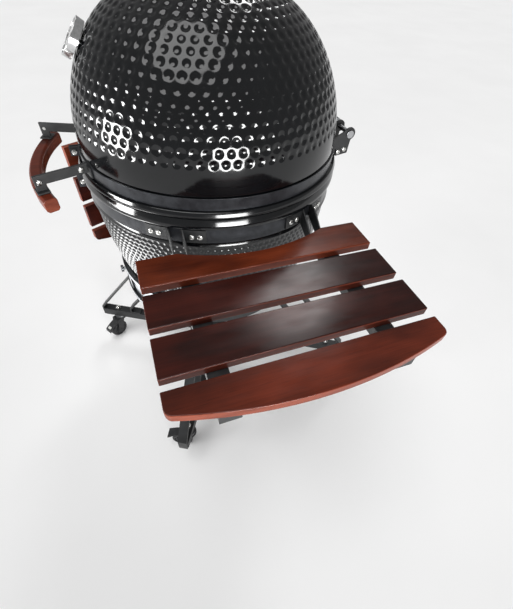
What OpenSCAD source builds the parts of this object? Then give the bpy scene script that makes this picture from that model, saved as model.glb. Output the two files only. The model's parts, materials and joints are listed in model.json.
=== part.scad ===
/* [Ceramic body] */
// Outer radius of the two ceramic rims that meet at the seam
rim_r = 270; // [225:1:324]
// Height of the seam above the floor
seam_z = 740; // [640:1:888]
// Wall thickness of the ceramic
wall = 24; // [20:0.5:28.8]
// Height of the lid's rim above the seam
lid_rim_h = 12.7; // [10:0.1:16]
// Height of the base's rim below the seam
base_rim_h = 22.1; // [18:0.1:26.5]
// How far the rims stand out from the lid's band seat
lid_rim_proud = 11.2; // [9:0.1:13.5]
// How far the rims stand out from the base's band seat
base_rim_proud = 8; // [6.5:0.1:9.6]
// Height of the dome's flat top above the seam
dome_h = 276; // [235:1:330]
// Radius of the opening in the top of the dome
vent_r = 50; // [42:1:60]
// Depth of the bowl below the seam
bowl_depth = 402; // [380:1:460]
// Radius of the bowl's flat foot
foot_r = 120; // [105:1:140]

/* [Bands] */
// Thickness of the steel bands
band_t = 2.5; // [2:0.1:3]
// Height of the lid's band
lid_band_h = 22; // [18.5:0.1:24]
// Height of the base's band
base_band_h = 29.4; // [25:0.1:35]

/* [Inside] */
// Gap between the cooking grate and the bowl's wall
grate_gap = 8; // [8:1:46]
// Height of the cooking grate below the seam
grate_drop = 34; // [28:1:40]
// Width of the cooking grate's bars
grate_bar_w = 5; // [4:0.1:6]
// Height of the firebox's rim below the seam
firebox_drop = 180; // [155:1:210]

/* [Draft door] */
// Half of the angle that the draft opening spans
draft_half_angle = 12; // [10:0.5:14]
// Height of the draft opening
draft_h = 54; // [46:1:62]
// Height of the middle of the draft opening above the bowl's foot
draft_rise = 112; // [108:1:124]

/* [Shelves] */
// Azimuth of the left shelf, measured round the body from the right shelf
left_azimuth = 206; // [180:1:215]
// Width of a slat
slat_w = 65.5; // [55:0.1:78]
// Gap between two slats
slat_gap = 16; // [13:0.1:19]
// Thickness of a slat
slat_t = 15; // [12.5:0.1:18]
// Length of a slat
slat_l = 404; // [340:1:480]
// Distance from the ceramic rims to the first slat's straight edge
shelf_reach = 15; // [15:1:30]
// Gap between the rim and the arc cut into the first slat
shelf_arc_gap = 45; // [38:1:50]
// Drop from the seam to the top of the slats
shelf_drop = 36; // [34:0.5:40]
// Offset of each shelf arm from the shelf's middle
arm_offset = 127; // [110:1:140]
// Width of a shelf arm
arm_w = 30; // [26:0.5:34]
// Height of a shelf arm
arm_h = 20; // [18:0.5:24]

/* [Cart] */
// Turn of the cart about the body's axis
cart_turn = 16; // [0:1:30]
// Distance from the body's axis to each caster's swivel axis
caster_reach = 372; // [340:1:420]
// Width and height of the square tube of the cross
tube_w = 28; // [24:0.5:32]
// Width of the flat straps
strap_w = 25; // [20:0.5:30]
// Radius of a caster's wheel
wheel_r = 30; // [25:0.5:34]
// Height of the cross above the floor
cart_clear = 90; // [84:1:108]

/* [Handle and hinge] */
// Half of the angle between the two handle arms
handle_half_angle = 19; // [16:0.5:22]
// Gap between the ceramic rims and the curved grip
grip_reach = 65; // [45:1:90]
// Radial width of the grip
grip_w = 23; // [19:0.5:27]
// Height of the grip
grip_h = 25; // [21:0.5:30]
// Distance of the hinge pin behind the ceramic rims
hinge_reach = 11; // [10:0.5:14]
// Half of the width of the hinge brackets
hinge_half_w = 96; // [80:1:115]

/* [Hidden] */
$fn = 96;
overlap = 1;
seat_gap = 0.3;
run_gap = 0.06;
curve_steps = 20;

// Ceramic body
gasket_t = 1.5;
half_seam = gasket_t + 0.1;
rim_edge = 2;
lid_seat_r = rim_r - lid_rim_proud;
base_seat_r = rim_r - base_rim_proud;
groove_d = 2.5;
lid_band_z = lid_rim_h + seat_gap;
dome_z = lid_band_z + lid_band_h + 3;
base_band_z = -base_rim_h - seat_gap - base_band_h;
ridge_z = base_band_z - 11;
cavity_r = base_seat_r - wall - 2;
grate_r = cavity_r - grate_gap;
shelf_inner = rim_r + shelf_reach;
hinge_y = rim_r + hinge_reach;
grip_r = rim_r + grip_reach;
collar_r = 80;

// A cubic curve from one point to another with two control points
function bezier(a, b, c, d, t) = pow(1 - t, 3) * a + 3 * pow(1 - t, 2) * t * b
    + 3 * (1 - t) * t * t * c + pow(t, 3) * d;
function curve(a, b, c, d) = [for (i = [0 : curve_steps]) bezier(a, b, c, d, i / curve_steps)];
function reversed(list) = [for (i = [len(list) - 1 : -1 : 0]) list[i]];

// The dome's side: upright at its foot, flat at its top
function dome_curve(r0, r1, z1) = curve([r0, dome_z], [r0 + 3, dome_z + 0.47 * (z1 - dome_z)],
    [r1 + 0.61 * (r0 - r1), z1 - 0.05 * (z1 - dome_z)], [r1, z1]);
// The bowl's side: upright at the ridge, flat at its foot
function bowl_curve(r0, r1, z1) = curve([r0, ridge_z], [r0 - 2, ridge_z + 0.35 * (z1 - ridge_z)],
    [r1 + 0.68 * (r0 - r1), z1 - 0.07 * (z1 - ridge_z)], [r1, z1]);
dome_side = dome_curve(lid_seat_r, collar_r, dome_h);
bowl_side = bowl_curve(base_seat_r, foot_r, -bowl_depth);
// Radius of the bowl's outside at a height relative to the seam
function bowl_r_at(z) = lookup(z, reversed([for (p = bowl_side) [p[1], p[0]]]));

// Bands and what is bolted to them
lid_band_r = lid_seat_r + seat_gap + band_t;
base_band_r = base_seat_r + seat_gap + band_t;
clamp_gap = 4;
clamp_out = 20;
clamp_t = 3;
clamp_bolt_r = 3;
screw_r = 3;
screw_head_r = 5;
screw_head_h = 3;
bracket_t = 2.5;

// Inside
grate_z = seam_z - grate_drop;
grate_t = 6;
fire_wall = 20;
fire_top_z = seam_z - firebox_drop;
bowl_floor_z = seam_z - bowl_depth + wall;
ledge_z = bowl_floor_z + 108;
coal_grate_r = 118;

// Draft door
draft_z = seam_z - bowl_depth + draft_rise;
draft_r = bowl_r_at(draft_z + draft_h / 2 + 10 - seam_z) + 4;
draft_t = 2;
draft_lip = 8;
rail_h = draft_lip - seat_gap;
draft_depth = wall + 33;
draft_travel = 2 * draft_half_angle + 4;
door_r = draft_r + draft_t + 3.4;
door_t = 1.6;
door_half_angle = draft_half_angle + 1.5;
door_h = draft_h + 8;

// Shelves
slat_top_z = seam_z - shelf_drop;
slat_z = slat_top_z - slat_t;
slat_pitch = slat_w + slat_gap;
pivot_r = shelf_inner + 12;
pivot_drop = 11;
pivot_z = slat_z - pivot_drop;
pin_r = 3;
arm_t = 2;
arm_end = shelf_inner + 3 * slat_pitch + slat_w * 0.7;
outer_edge_r = 697;
slat_corner_r = 12;
slat_screw_r = 2;
nose_r = pivot_drop - arm_t - 0.5;
bracket_w = arm_w - 2 * arm_t - 2 * seat_gap;
bracket_angle = asin(arm_offset / base_band_r);

// Cart
cross_z = cart_clear;
cross_top = cart_clear + tube_w;
tube_t = 2;
tip_r = caster_reach + 48;
strap_t = 5;
ring_t = 4;
ring_h = 24;
upper_ring_z = seam_z - bowl_depth + 72;
lower_ring_z = seam_z - bowl_depth + 14;
upper_ring_r = bowl_r_at(upper_ring_z - seam_z) + seat_gap;
lower_ring_r = bowl_r_at(lower_ring_z - seam_z) + seat_gap;
inner_foot_r = caster_reach - 52;
stem_r = 5;
crown_r = 20;
crown_t = 6;
crown_z = cart_clear - 13;
cheek_t = 2.5;
wheel_w = 22;
cheek_gap = 2;
trail = 25;
axle_r = 4;
brake_pin_r = 2;
brake_pivot = [trail - 5, crown_z - 8];
// Each caster: angle round the cart and the way its wheel trails
front_left_at = -135;
front_left_trail = -55;
front_right_at = -45;
front_right_trail = -115;
rear_left_at = 135;
rear_left_trail = 110;
rear_right_at = 45;
rear_right_trail = 75;

// Handle, hinge, thermometer and vent
front = -90;
handle_bar_t = 5;
handle_bar_h = 17;
handle_z = lid_band_z + lid_band_h / 2 - handle_bar_h / 2 + 5;
grip_z = -17;
grip_half_angle = handle_half_angle + 5;
grip_chamfer = 4;
// Where each handle arm's two bolts lie: distance from the axis and height on the bar
handle_bolts = [[lid_band_r + 14, handle_bar_h / 2], [grip_r + grip_w / 2, handle_bar_h / 2 - 3]];
hinge_z = 44;
hinge_pin_r = 5;
plate_t = 4;
ear_x = 50;
hinge_eye_r = 13;
channel_back = hinge_y + 2;
rim_clear_y = rim_r - 3.5;
spring_r = 11;
spring_wire_r = 1.5;
spring_end_x = 8;
// Where each outer hinge plate's two bolts lie: distance behind the axis and height above the seam
hinge_bolts = [[hinge_y - 20.5, 8], [hinge_y - 6.5, 12.5]];
hinge_bolt_r = 3;
dial_t = 0.5;
dial_at = dome_side[round(dial_t * curve_steps)];
dial_next = dome_side[round(dial_t * curve_steps) + 1];
dial_tilt = atan2(dial_at[0] - dial_next[0], dial_next[1] - dial_at[1]);
dial_r = 31;
needle_rest = 135;
vent_wall = 6;
spigot_t = 5;
vent_h = 44;
vent_z = seam_z + dome_h + seat_gap;
vent_top_z = vent_z + vent_h;
vent_pivot_y = vent_r + vent_wall + 15;
vent_plate_t = 5;

module at_azimuth(a) rotate([0, 0, a]) children();

// A solid of revolution over part of a turn, centred on an azimuth
module sector(middle, half) {
    rotate([0, 0, middle - half]) rotate_extrude(angle = 2 * half, $fn = 180) children();
}

module tube_ring(ri, ro, z0, z1) {
    rotate_extrude($fn = 180) translate([ri, z0]) square([ro - ri, z1 - z0]);
}

// A screw head and its shank, pointing along +X from the surface at x = 0
module screw(shank_l) {
    rotate([0, 90, 0]) cylinder(r = screw_head_r, h = screw_head_h, $fn = 32);
    translate([-shank_l, 0, 0]) rotate([0, 90, 0]) cylinder(r = screw_r, h = shank_l + 0.5, $fn = 32);
}

// ---- Ceramic ----

module dome() {
    inner = dome_curve(lid_seat_r - wall, vent_r, dome_h - wall);
    color("#141516") translate([0, 0, seam_z]) difference() {
        rotate_extrude($fn = 180) polygon(concat(
            [[lid_seat_r - wall, half_seam], [rim_r - rim_edge, half_seam],
            [rim_r, half_seam + rim_edge], [rim_r, lid_rim_h - rim_edge],
            [rim_r - rim_edge, lid_rim_h], [lid_seat_r, lid_rim_h],
            [lid_seat_r, lid_band_z + lid_band_h - 1],
            [lid_seat_r - groove_d, lid_band_z + lid_band_h],
            [lid_seat_r - groove_d, dome_z - 1]], dome_side, [[vent_r, dome_h]], reversed(inner)));
        at_dial() cylinder(r = 5.6, h = 4 * wall, center = true, $fn = 32);
    }
}

module bowl() {
    inner = bowl_curve(cavity_r, foot_r - wall * 0.6, -bowl_depth + wall);
    color("#141516") difference() {
        union() {
            draft_boss();
            translate([0, 0, seam_z]) rotate_extrude($fn = 180) polygon(concat(
                [[cavity_r, -half_seam], [rim_r - rim_edge, -half_seam],
                [rim_r, -half_seam - rim_edge], [rim_r, -base_rim_h + rim_edge],
                [rim_r - rim_edge, -base_rim_h], [base_seat_r, -base_rim_h],
                [base_seat_r, base_band_z - 1], [base_seat_r + 4, base_band_z - 3],
                [base_seat_r + 4, base_band_z - 8]], bowl_side,
                [[0, -bowl_depth], [0, -bowl_depth + wall]], reversed(inner)));
        }
        draft_passage(seat_gap, draft_r / 2);
    }
}

// The raised pad on the bowl that carries the draft frame
module draft_boss() {
    low = draft_z - door_h / 2 - draft_lip + 0.5;
    top = draft_z + door_h / 2 + draft_lip;
    sector(front + draft_travel / 2, draft_half_angle + 6 + draft_travel / 2) polygon([
        [bowl_r_at(low - seam_z) - 6, low], [draft_r - seat_gap, low], [draft_r - seat_gap, top],
        [bowl_r_at(top + 2 - seam_z) - 6, top + 2]]);
}

// The straight passage through the bowl's wall behind the draft door
module draft_passage(grow, depth) {
    half_w = draft_r * sin(draft_half_angle) + draft_t + grow;
    translate([-half_w, -draft_r - overlap, draft_z - draft_h / 2 - draft_t - grow])
        cube([2 * half_w, depth, draft_h + 2 * draft_t + 2 * grow]);
}

module firebox() {
    top_r = cavity_r - 34;
    mid_z = ledge_z + 46;
    color("#b9a88c") difference() {
        rotate_extrude($fn = 120) polygon([
            [coal_grate_r - 38, bowl_floor_z + seat_gap], [foot_r - wall, bowl_floor_z + seat_gap],
            [coal_grate_r + 26, ledge_z - 8], [top_r - 7, mid_z], [top_r, fire_top_z],
            [top_r - fire_wall, fire_top_z], [top_r - fire_wall - 6, mid_z],
            [coal_grate_r + 2, ledge_z], [coal_grate_r - 12, ledge_z], [coal_grate_r - 12, ledge_z - 12]]);
        translate([-48, -cavity_r, bowl_floor_z + 10]) cube([96, cavity_r, ledge_z - bowl_floor_z - 32]);
    }
}

module fire_ring() {
    foot_in = cavity_r - 34 - fire_wall;
    color("#b9a88c") rotate_extrude($fn = 120) polygon([
        [foot_in, fire_top_z + seat_gap], [cavity_r - 32, fire_top_z + seat_gap],
        [cavity_r - 5, grate_z - 40], [cavity_r - 5, grate_z - seat_gap],
        [cavity_r - 5 - fire_wall, grate_z - seat_gap], [cavity_r - 5 - fire_wall, grate_z - 40]]);
}

// ---- Grates ----

module charcoal_grate() {
    spokes = 18;
    color("#3a3a3b") translate([0, 0, ledge_z + seat_gap]) linear_extrude(8) difference() {
        circle(r = coal_grate_r, $fn = 96);
        for (ring = [0, 1])
            for (i = [0 : spokes - 1])
                rotate(i * 360 / spokes) translate([28 + ring * 42, -3]) square([34, 6 + 3 * ring]);
    }
}

module cooking_grate() {
    pitch = 3 * grate_bar_w;
    bars = floor((grate_r - 6) / pitch);
    color("#b8b9ba") translate([0, 0, grate_z]) linear_extrude(grate_t) union() {
        difference() {
            circle(r = grate_r, $fn = 160);
            circle(r = grate_r - 8, $fn = 160);
        }
        intersection() {
            circle(r = grate_r - 2, $fn = 160);
            union() {
                for (i = [-bars : bars])
                    translate([i * pitch - grate_bar_w / 2, -grate_r]) square([grate_bar_w, 2 * grate_r]);
                for (y = [-grate_r / 2, grate_r / 2])
                    translate([-grate_r, y - 4]) square([2 * grate_r, 8]);
            }
        }
    }
}

// ---- Seals and bands ----

module lower_gasket() {
    color("#2b2b2c") translate([0, 0, seam_z])
        tube_ring(cavity_r + 6, rim_r - 7, -half_seam, -half_seam + gasket_t);
}

module upper_gasket() {
    color("#2b2b2c") translate([0, 0, seam_z])
        tube_ring(cavity_r + 6, rim_r - 7, half_seam - gasket_t, half_seam);
}

// A steel hoop that is split at the front and drawn together by a bolt through two ears
module split_band(seat_r, z0, h) {
    ri = seat_r + seat_gap;
    ear_h = h - 4;
    difference() {
        union() {
            tube_ring(ri, ri + band_t, z0, z0 + h);
            for (side = [-1, 1])
                translate([side * (clamp_gap + clamp_t) / 2 - clamp_t / 2, -ri - clamp_out, z0 + 2])
                    cube([clamp_t, clamp_out - band_t / 4, ear_h]);
        }
        translate([-clamp_gap / 2, -ri - clamp_out - overlap, z0 - overlap])
            cube([clamp_gap, clamp_out + band_t + 4, h + 2 * overlap]);
        translate([0, -ri - clamp_out / 2 - 2, z0 + h / 2]) rotate([0, 90, 0])
            cylinder(r = clamp_bolt_r + run_gap, h = 4 * clamp_gap + 4 * clamp_t, center = true, $fn = 32);
    }
}

// The bolt that draws a band's two ears together, with its nut
module clamp_bolt(seat_r, z) {
    reach = clamp_gap / 2 + clamp_t;
    translate([0, -seat_r - seat_gap - clamp_out / 2 - 2, z]) {
        rotate([0, 90, 0]) cylinder(r = clamp_bolt_r, h = 2 * reach + 16, center = true, $fn = 32);
        translate([reach, 0, 0]) rotate([0, 90, 0]) cylinder(r = 5.5, h = 4, $fn = 6);
        translate([-reach - 4, 0, 0]) rotate([0, 90, 0]) cylinder(r = 5.5, h = 4, $fn = 6);
    }
}

// Holes or shanks through a band at given azimuths and a height relative to the seam
module round_band(r, z, angles) {
    for (a = angles)
        rotate([0, 0, a]) translate([r, 0, seam_z + z]) children();
}

bracket_screw_spread = 8;
base_screw_z = base_band_z + base_band_h / 2;
lid_screw_z = lid_band_z + lid_band_h / 2;
function shelf_screw_angles(azimuth) = [for (side = [-1, 1]) for (wing = [-1, 1])
    for (pair = [-1.6, 1.6]) azimuth + side * bracket_angle + wing * bracket_screw_spread + pair];
hinge_screw_angles = [for (side = [-1, 1]) for (pair = [-1.6, 1.6]) 90 + side * 15 + pair];
base_screw_angles = concat(shelf_screw_angles(0), shelf_screw_angles(left_azimuth), hinge_screw_angles);

module upper_band() {
    color("#2a2c2e") difference() {
        translate([0, 0, seam_z]) split_band(lid_seat_r, lid_band_z, lid_band_h);
        round_band(lid_band_r, lid_screw_z, hinge_screw_angles)
            rotate([0, 90, 0]) cylinder(r = screw_r + run_gap, h = 12, center = true, $fn = 32);
    }
}

module lower_band() {
    color("#2a2c2e") difference() {
        translate([0, 0, seam_z]) split_band(base_seat_r, base_band_z, base_band_h);
        round_band(base_band_r, base_screw_z, base_screw_angles)
            rotate([0, 90, 0]) cylinder(r = screw_r + run_gap, h = 12, center = true, $fn = 32);
    }
}

module base_band_screws() {
    color("#c9c9c6") {
        round_band(base_band_r + seat_gap + bracket_t, base_screw_z, base_screw_angles)
            screw(band_t + bracket_t + seat_gap);
        clamp_bolt(base_seat_r, seam_z + base_band_z + base_band_h / 2);
    }
}

module lid_band_screws() {
    color("#c9c9c6") {
        round_band(lid_band_r + seat_gap + bracket_t, lid_screw_z, hinge_screw_angles)
            screw(band_t + bracket_t + seat_gap);
        clamp_bolt(lid_seat_r, seam_z + lid_band_z + lid_band_h / 2);
        for (side = [-1, 1])
            at_hinge_bolts(side) {
                translate([0, 0, -side * plate_t / 2])
                    cylinder(r = hinge_bolt_r, h = plate_t + 0.5, center = true, $fn = 32);
                translate([0, 0, side * screw_head_h / 2])
                    cylinder(r = screw_head_r, h = screw_head_h, center = true, $fn = 32);
            }
        for (side = [-1, 1])
            for (place = handle_bolts)
                at_handle_arm(side) translate([place[0], side * handle_bar_t / 2, place[1]])
                    rotate([0, 0, side * 90]) screw(handle_bar_t + 4);
    }
}

// ---- Draft door ----

module draft_frame() {
    flange_top = draft_z + door_h / 2 + draft_lip;
    flange_low = draft_z - door_h / 2 - draft_lip;
    middle = front + draft_travel / 2;
    half = draft_half_angle + 5 + draft_travel / 2;
    color("#5c5e60") difference() {
        union() {
            sector(middle, half) translate([draft_r, flange_low])
                square([draft_t, flange_top - flange_low]);
            for (up = [0, 1])
                sector(middle, half) translate([draft_r, up == 1 ? flange_top - rail_h : flange_low])
                    square([draft_t + 7, rail_h]);
            for (up = [0, 1])
                sector(middle, half) translate([draft_r + draft_t + 6,
                    up == 1 ? flange_top - draft_lip - 3 : flange_low])
                    square([1.6, draft_lip + 3]);
            intersection() {
                draft_passage(0, draft_depth);
                cylinder(r = draft_r + draft_t, h = seam_z, $fn = 180);
            }
        }
        half_w = draft_r * sin(draft_half_angle);
        translate([-half_w, -draft_r - 20, draft_z - draft_h / 2])
            cube([2 * half_w, draft_r, draft_h]);
    }
}

module draft_screen() {
    slots = 9;
    slot_step = 2 * draft_half_angle / slots;
    color("#8d8f91") difference() {
        sector(front, door_half_angle) translate([draft_r + draft_t + 0.1, draft_z - door_h / 2])
            square([1.2, door_h]);
        for (i = [0 : slots - 1])
            sector(front + (i - (slots - 1) / 2) * slot_step, slot_step * 0.36)
                translate([draft_r, draft_z - draft_h / 2 + 4]) square([10, draft_h - 8]);
    }
}

module draft_door() {
    color("#5c5e60") {
        sector(front, door_half_angle) translate([door_r, draft_z - door_h / 2]) square([door_t, door_h]);
        translate([0, -door_r - door_t + 0.5, draft_z]) rotate([90, 0, 0]) {
            cylinder(r = 4, h = 10, $fn = 32);
            translate([0, 0, 8]) cylinder(r = 9, h = 6, $fn = 48);
        }
    }
}

// ---- Shelf brackets and pins ----

// A bracket in its shelf's own direction: two side plates, a bridge and two wings on the band
module shelf_bracket(side) {
    y0 = side * arm_offset;
    band_x = sqrt(pow(base_band_r + seat_gap, 2) - pow(arm_offset, 2));
    difference() {
        union() {
            for (edge = [-1, 1])
                translate([0, y0 + edge * (bracket_w - bracket_t) / 2 + bracket_t / 2, 0])
                    rotate([90, 0, 0]) linear_extrude(bracket_t) {
                        polygon([[band_x - 14, seam_z + base_band_z + 8],
                            [band_x - 14, seam_z + base_band_z + base_band_h],
                            [band_x + 10, seam_z + base_band_z + base_band_h],
                            [band_x + 26, seam_z + base_band_z + base_band_h - 9],
                            [pivot_r - 20, pivot_z + 18], [pivot_r - 13, pivot_z + nose_r],
                            [pivot_r, pivot_z + nose_r], [pivot_r, pivot_z - nose_r],
                            [pivot_r - 18, pivot_z - nose_r]]);
                        translate([pivot_r, pivot_z]) circle(r = nose_r, $fn = 48);
                    }
            for (wing = [-1, 1])
                sector(side * bracket_angle + wing * bracket_screw_spread * 0.93, 4.6)
                    translate([base_band_r + seat_gap, seam_z + base_band_z + 2])
                    square([bracket_t, base_band_h - 3]);
        }
        translate([pivot_r, y0, pivot_z]) rotate([90, 0, 0])
            cylinder(r = pin_r + run_gap, h = 2 * bracket_w, center = true, $fn = 32);
        cylinder(r = base_band_r + seat_gap, h = seam_z, $fn = 180);
        round_band(base_band_r, base_screw_z, shelf_screw_angles(0))
            rotate([0, 90, 0]) cylinder(r = screw_r + run_gap, h = 24, center = true, $fn = 32);
    }
}

module shelf_brackets() {
    color("#1b1c1d")
        for (azimuth = [0, left_azimuth])
            for (side = [-1, 1])
                at_azimuth(azimuth) shelf_bracket(side);
}

module shelf_pivot_pins() {
    color("#c9c9c6")
        for (azimuth = [0, left_azimuth])
            for (side = [-1, 1])
                at_azimuth(azimuth) translate([pivot_r, side * arm_offset, pivot_z]) rotate([90, 0, 0]) {
                    cylinder(r = pin_r, h = arm_w + 6, center = true, $fn = 32);
                    for (end = [-1, 1])
                        translate([0, 0, end * (arm_w / 2 + 2.5)])
                            cylinder(r = 5.5, h = 3, center = true, $fn = 32);
                }
}

// ---- Shelves ----

// Places a shelf's parts, built raised and pointing along +X, at an azimuth and a fold angle
module place_shelf(azimuth, fold) {
    at_azimuth(azimuth)
        translate([pivot_r, 0, pivot_z]) rotate([0, fold, 0]) translate([-pivot_r, 0, -pivot_z])
            children();
}

module shelf_arms() {
    inner = pivot_r - 11;
    color("#1b1c1d")
        for (side = [-1, 1])
            difference() {
                translate([inner, side * arm_offset - arm_w / 2, slat_z - arm_h])
                    cube([arm_end - inner, arm_w, arm_h]);
                translate([inner - overlap, side * arm_offset - arm_w / 2 + arm_t, slat_z - arm_h - overlap])
                    cube([arm_end - inner - arm_t + overlap, arm_w - 2 * arm_t, arm_h - arm_t + overlap]);
                translate([pivot_r, side * arm_offset, pivot_z]) rotate([90, 0, 0])
                    cylinder(r = pin_r + run_gap, h = 2 * arm_w, center = true, $fn = 32);
                for (i = [0 : 3])
                    translate([slat_middle(i), side * arm_offset, slat_z])
                        cylinder(r = slat_screw_r + run_gap, h = 4 * arm_t, center = true, $fn = 24);
            }
}

function slat_middle(i) = shelf_inner + i * slat_pitch + slat_w * 0.55;

// Outline of one slat, seen from above
module slat_outline(i) {
    x0 = shelf_inner + i * slat_pitch;
    arc_x = x0 + slat_w * 0.94 - outer_edge_r;
    corner_y = slat_l / 2 - slat_corner_r;
    corner_x = arc_x + sqrt(pow(outer_edge_r - slat_corner_r, 2) - pow(corner_y, 2));
    touch_y = corner_y * outer_edge_r / (outer_edge_r - slat_corner_r);
    if (i < 3)
        difference() {
            translate([x0, -slat_l / 2]) square([slat_w, slat_l]);
            if (i == 0)
                circle(r = rim_r + shelf_arc_gap, $fn = 180);
        }
    else
        intersection() {
            union() {
                translate([x0, -slat_l / 2]) square([corner_x - x0, slat_l]);
                translate([x0, -touch_y]) square([slat_w, 2 * touch_y]);
                for (side = [-1, 1])
                    translate([corner_x, side * corner_y]) circle(r = slat_corner_r, $fn = 96);
            }
            translate([arc_x, 0]) circle(r = outer_edge_r, $fn = 360);
        }
}

module slat(i) {
    color(i == 0 || i == 3 ? "#6b2c1b" : "#4a211a") difference() {
        translate([0, 0, slat_z]) linear_extrude(slat_t) slat_outline(i);
        for (side = [-1, 1])
            translate([slat_middle(i), side * arm_offset, slat_z - overlap])
                cylinder(r = slat_screw_r + run_gap, h = 10 + overlap, $fn = 24);
    }
}

module slat_screws() {
    color("#c9c9c6")
        for (side = [-1, 1])
            for (i = [0 : 3])
                translate([slat_middle(i), side * arm_offset, slat_z - arm_t]) {
                    cylinder(r = slat_screw_r, h = 9 + arm_t, $fn = 24);
                    translate([0, 0, -2.2]) cylinder(r = 4, h = 2.2, $fn = 24);
                }
}

// ---- Cart ----

module cross_arms(w, l, z0, h) {
    for (a = [45, 135])
        rotate([0, 0, cart_turn + a]) translate([-l, -w / 2, z0]) cube([2 * l, w, h]);
}

module at_casters() {
    for (a = [front_left_at, front_right_at, rear_left_at, rear_right_at])
        at_azimuth(cart_turn + a) translate([caster_reach, 0, 0]) children();
}

module cart_crossbars() {
    color("#1b1c1d") difference() {
        cross_arms(tube_w, tip_r, cross_z, tube_w);
        cross_arms(tube_w - 2 * tube_t, tip_r + overlap, cross_z + tube_t, tube_w - 2 * tube_t);
        at_casters() translate([0, 0, cross_z - overlap])
            cylinder(r = stem_r + run_gap, h = tube_w + 2 * overlap, $fn = 32);
    }
}

// A flat strap in its own upright plane: a foot, a short upright and a slope up to a hoop
module strap(foot_in, foot_out, z0, foot_t, bend_z, top_r, top_z) {
    slope_t = strap_t * 1.6;
    rotate([90, 0, 0]) linear_extrude(strap_w, center = true) polygon([
        [foot_in, z0], [foot_out, z0], [foot_out, bend_z], [top_r, top_z],
        [top_r, top_z - slope_t], [foot_out - strap_t, bend_z - slope_t * 0.6],
        [foot_out - strap_t, z0 + foot_t], [foot_in, z0 + foot_t]]);
}

module cart_outer_straps() {
    color("#1b1c1d")
        for (a = [front_left_at, front_right_at, rear_left_at, rear_right_at])
            at_azimuth(cart_turn + a)
                strap(tip_r, tip_r + strap_t, cross_z, tube_w, cross_top + 12,
                    upper_ring_r + ring_t, upper_ring_z - 4);
}

module cart_inner_straps() {
    color("#1b1c1d")
        for (a = [front_left_at, front_right_at, rear_left_at, rear_right_at])
            at_azimuth(cart_turn + a)
                strap(inner_foot_r - 34, inner_foot_r, cross_top, strap_t, cross_top + 22,
                    lower_ring_r + ring_t, lower_ring_z - 4);
}

module bowl_rings() {
    color("#1b1c1d") {
        tube_ring(upper_ring_r, upper_ring_r + ring_t, upper_ring_z - ring_h, upper_ring_z);
        tube_ring(lower_ring_r, lower_ring_r + ring_t, lower_ring_z - ring_h, lower_ring_z);
    }
}

// The fixed part of each caster: a threaded stem with a race plate above and a head below
module caster_stems() {
    color("#a8a9aa") at_casters() {
        translate([0, 0, crown_z - 3.4]) cylinder(r = stem_r, h = cross_top + 6 - crown_z + 3.4, $fn = 32);
        translate([0, 0, crown_z + crown_t + 0.4])
            cylinder(r = crown_r - 2, h = cross_z - crown_z - crown_t - 0.4, $fn = 48);
        translate([0, 0, crown_z - 3.4]) cylinder(r = 9, h = 3, $fn = 32);
    }
}

module caster_nuts() {
    color("#c9c9c6") at_casters() translate([0, 0, cross_top]) difference() {
        union() {
            cylinder(r = 8.5, h = 6, $fn = 6);
            translate([0, 0, 5.5]) intersection() {
                sphere(r = 7.6, $fn = 48);
                cylinder(r = 8, h = 8, $fn = 48);
            }
        }
        translate([0, 0, -overlap]) cylinder(r = stem_r + run_gap, h = 7.4 + overlap, $fn = 32);
    }
}

// Places a caster's turning part at its swivel axis, with its wheel trailing along +X
module at_caster(at, trail_at) {
    at_azimuth(cart_turn + at) translate([caster_reach, 0, 0])
        rotate([0, 0, trail_at - at - cart_turn]) children();
}

module fork(braked) {
    outer = wheel_w + 2 * cheek_gap + 2 * cheek_t;
    color("#1b1c1d") difference() {
        union() {
            translate([0, 0, crown_z]) cylinder(r = crown_r, h = crown_t, $fn = 64);
            translate([-2, -outer / 2, crown_z]) cube([crown_r + 8, outer, 3]);
            for (side = [-1, 1])
                translate([0, side * (outer - cheek_t) / 2 + cheek_t / 2, 0])
                    rotate([90, 0, 0]) linear_extrude(cheek_t) {
                        polygon([[-2, crown_z + 3], [crown_r + 6, crown_z + 3],
                            [trail + 10, wheel_r], [trail - 10, wheel_r]]);
                        translate([trail, wheel_r]) circle(r = 10, $fn = 48);
                    }
            translate([trail, 0, wheel_r]) rotate([90, 0, 0])
                cylinder(r = axle_r, h = outer + 3, center = true, $fn = 32);
            if (braked)
                translate([brake_pivot[0], 0, brake_pivot[1]]) rotate([90, 0, 0])
                    cylinder(r = brake_pin_r, h = outer + 2, center = true, $fn = 32);
        }
        translate([0, 0, crown_z - overlap])
            cylinder(r = stem_r + run_gap, h = crown_t + 2 * overlap, $fn = 32);
    }
}

module wheel() {
    color("#222324") translate([trail, 0, wheel_r]) rotate([90, 0, 0]) rotate_extrude($fn = 96)
        polygon([[axle_r + run_gap, -wheel_w / 2], [12, -wheel_w / 2], [14, -wheel_w / 2 + 3],
            [wheel_r - 8, -wheel_w / 2 + 3], [wheel_r - 7, -wheel_w / 2 + 1],
            [wheel_r - 3, -wheel_w / 2 + 1], [wheel_r, -wheel_w / 2 + 4],
            [wheel_r, wheel_w / 2 - 4], [wheel_r - 3, wheel_w / 2 - 1], [wheel_r - 7, wheel_w / 2 - 1],
            [wheel_r - 8, wheel_w / 2 - 3], [14, wheel_w / 2 - 3], [12, wheel_w / 2],
            [axle_r + run_gap, wheel_w / 2]]);
}

// A foot brake: a tongue on a cross pin between the fork's cheeks, above the wheel
module brake() {
    brake_w = wheel_w + 2 * cheek_gap - 2 * seat_gap;
    color("#1f2021") translate([brake_pivot[0], brake_w / 2, brake_pivot[1]]) rotate([90, 0, 0])
        linear_extrude(brake_w) difference() {
            polygon([[-6, 4], [6, 4], [30, -6], [45, -14], [47, -24], [42, -23], [30, -10],
                [17, -5], [-6, -4]]);
            circle(r = brake_pin_r + run_gap, $fn = 32);
        }
}

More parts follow.
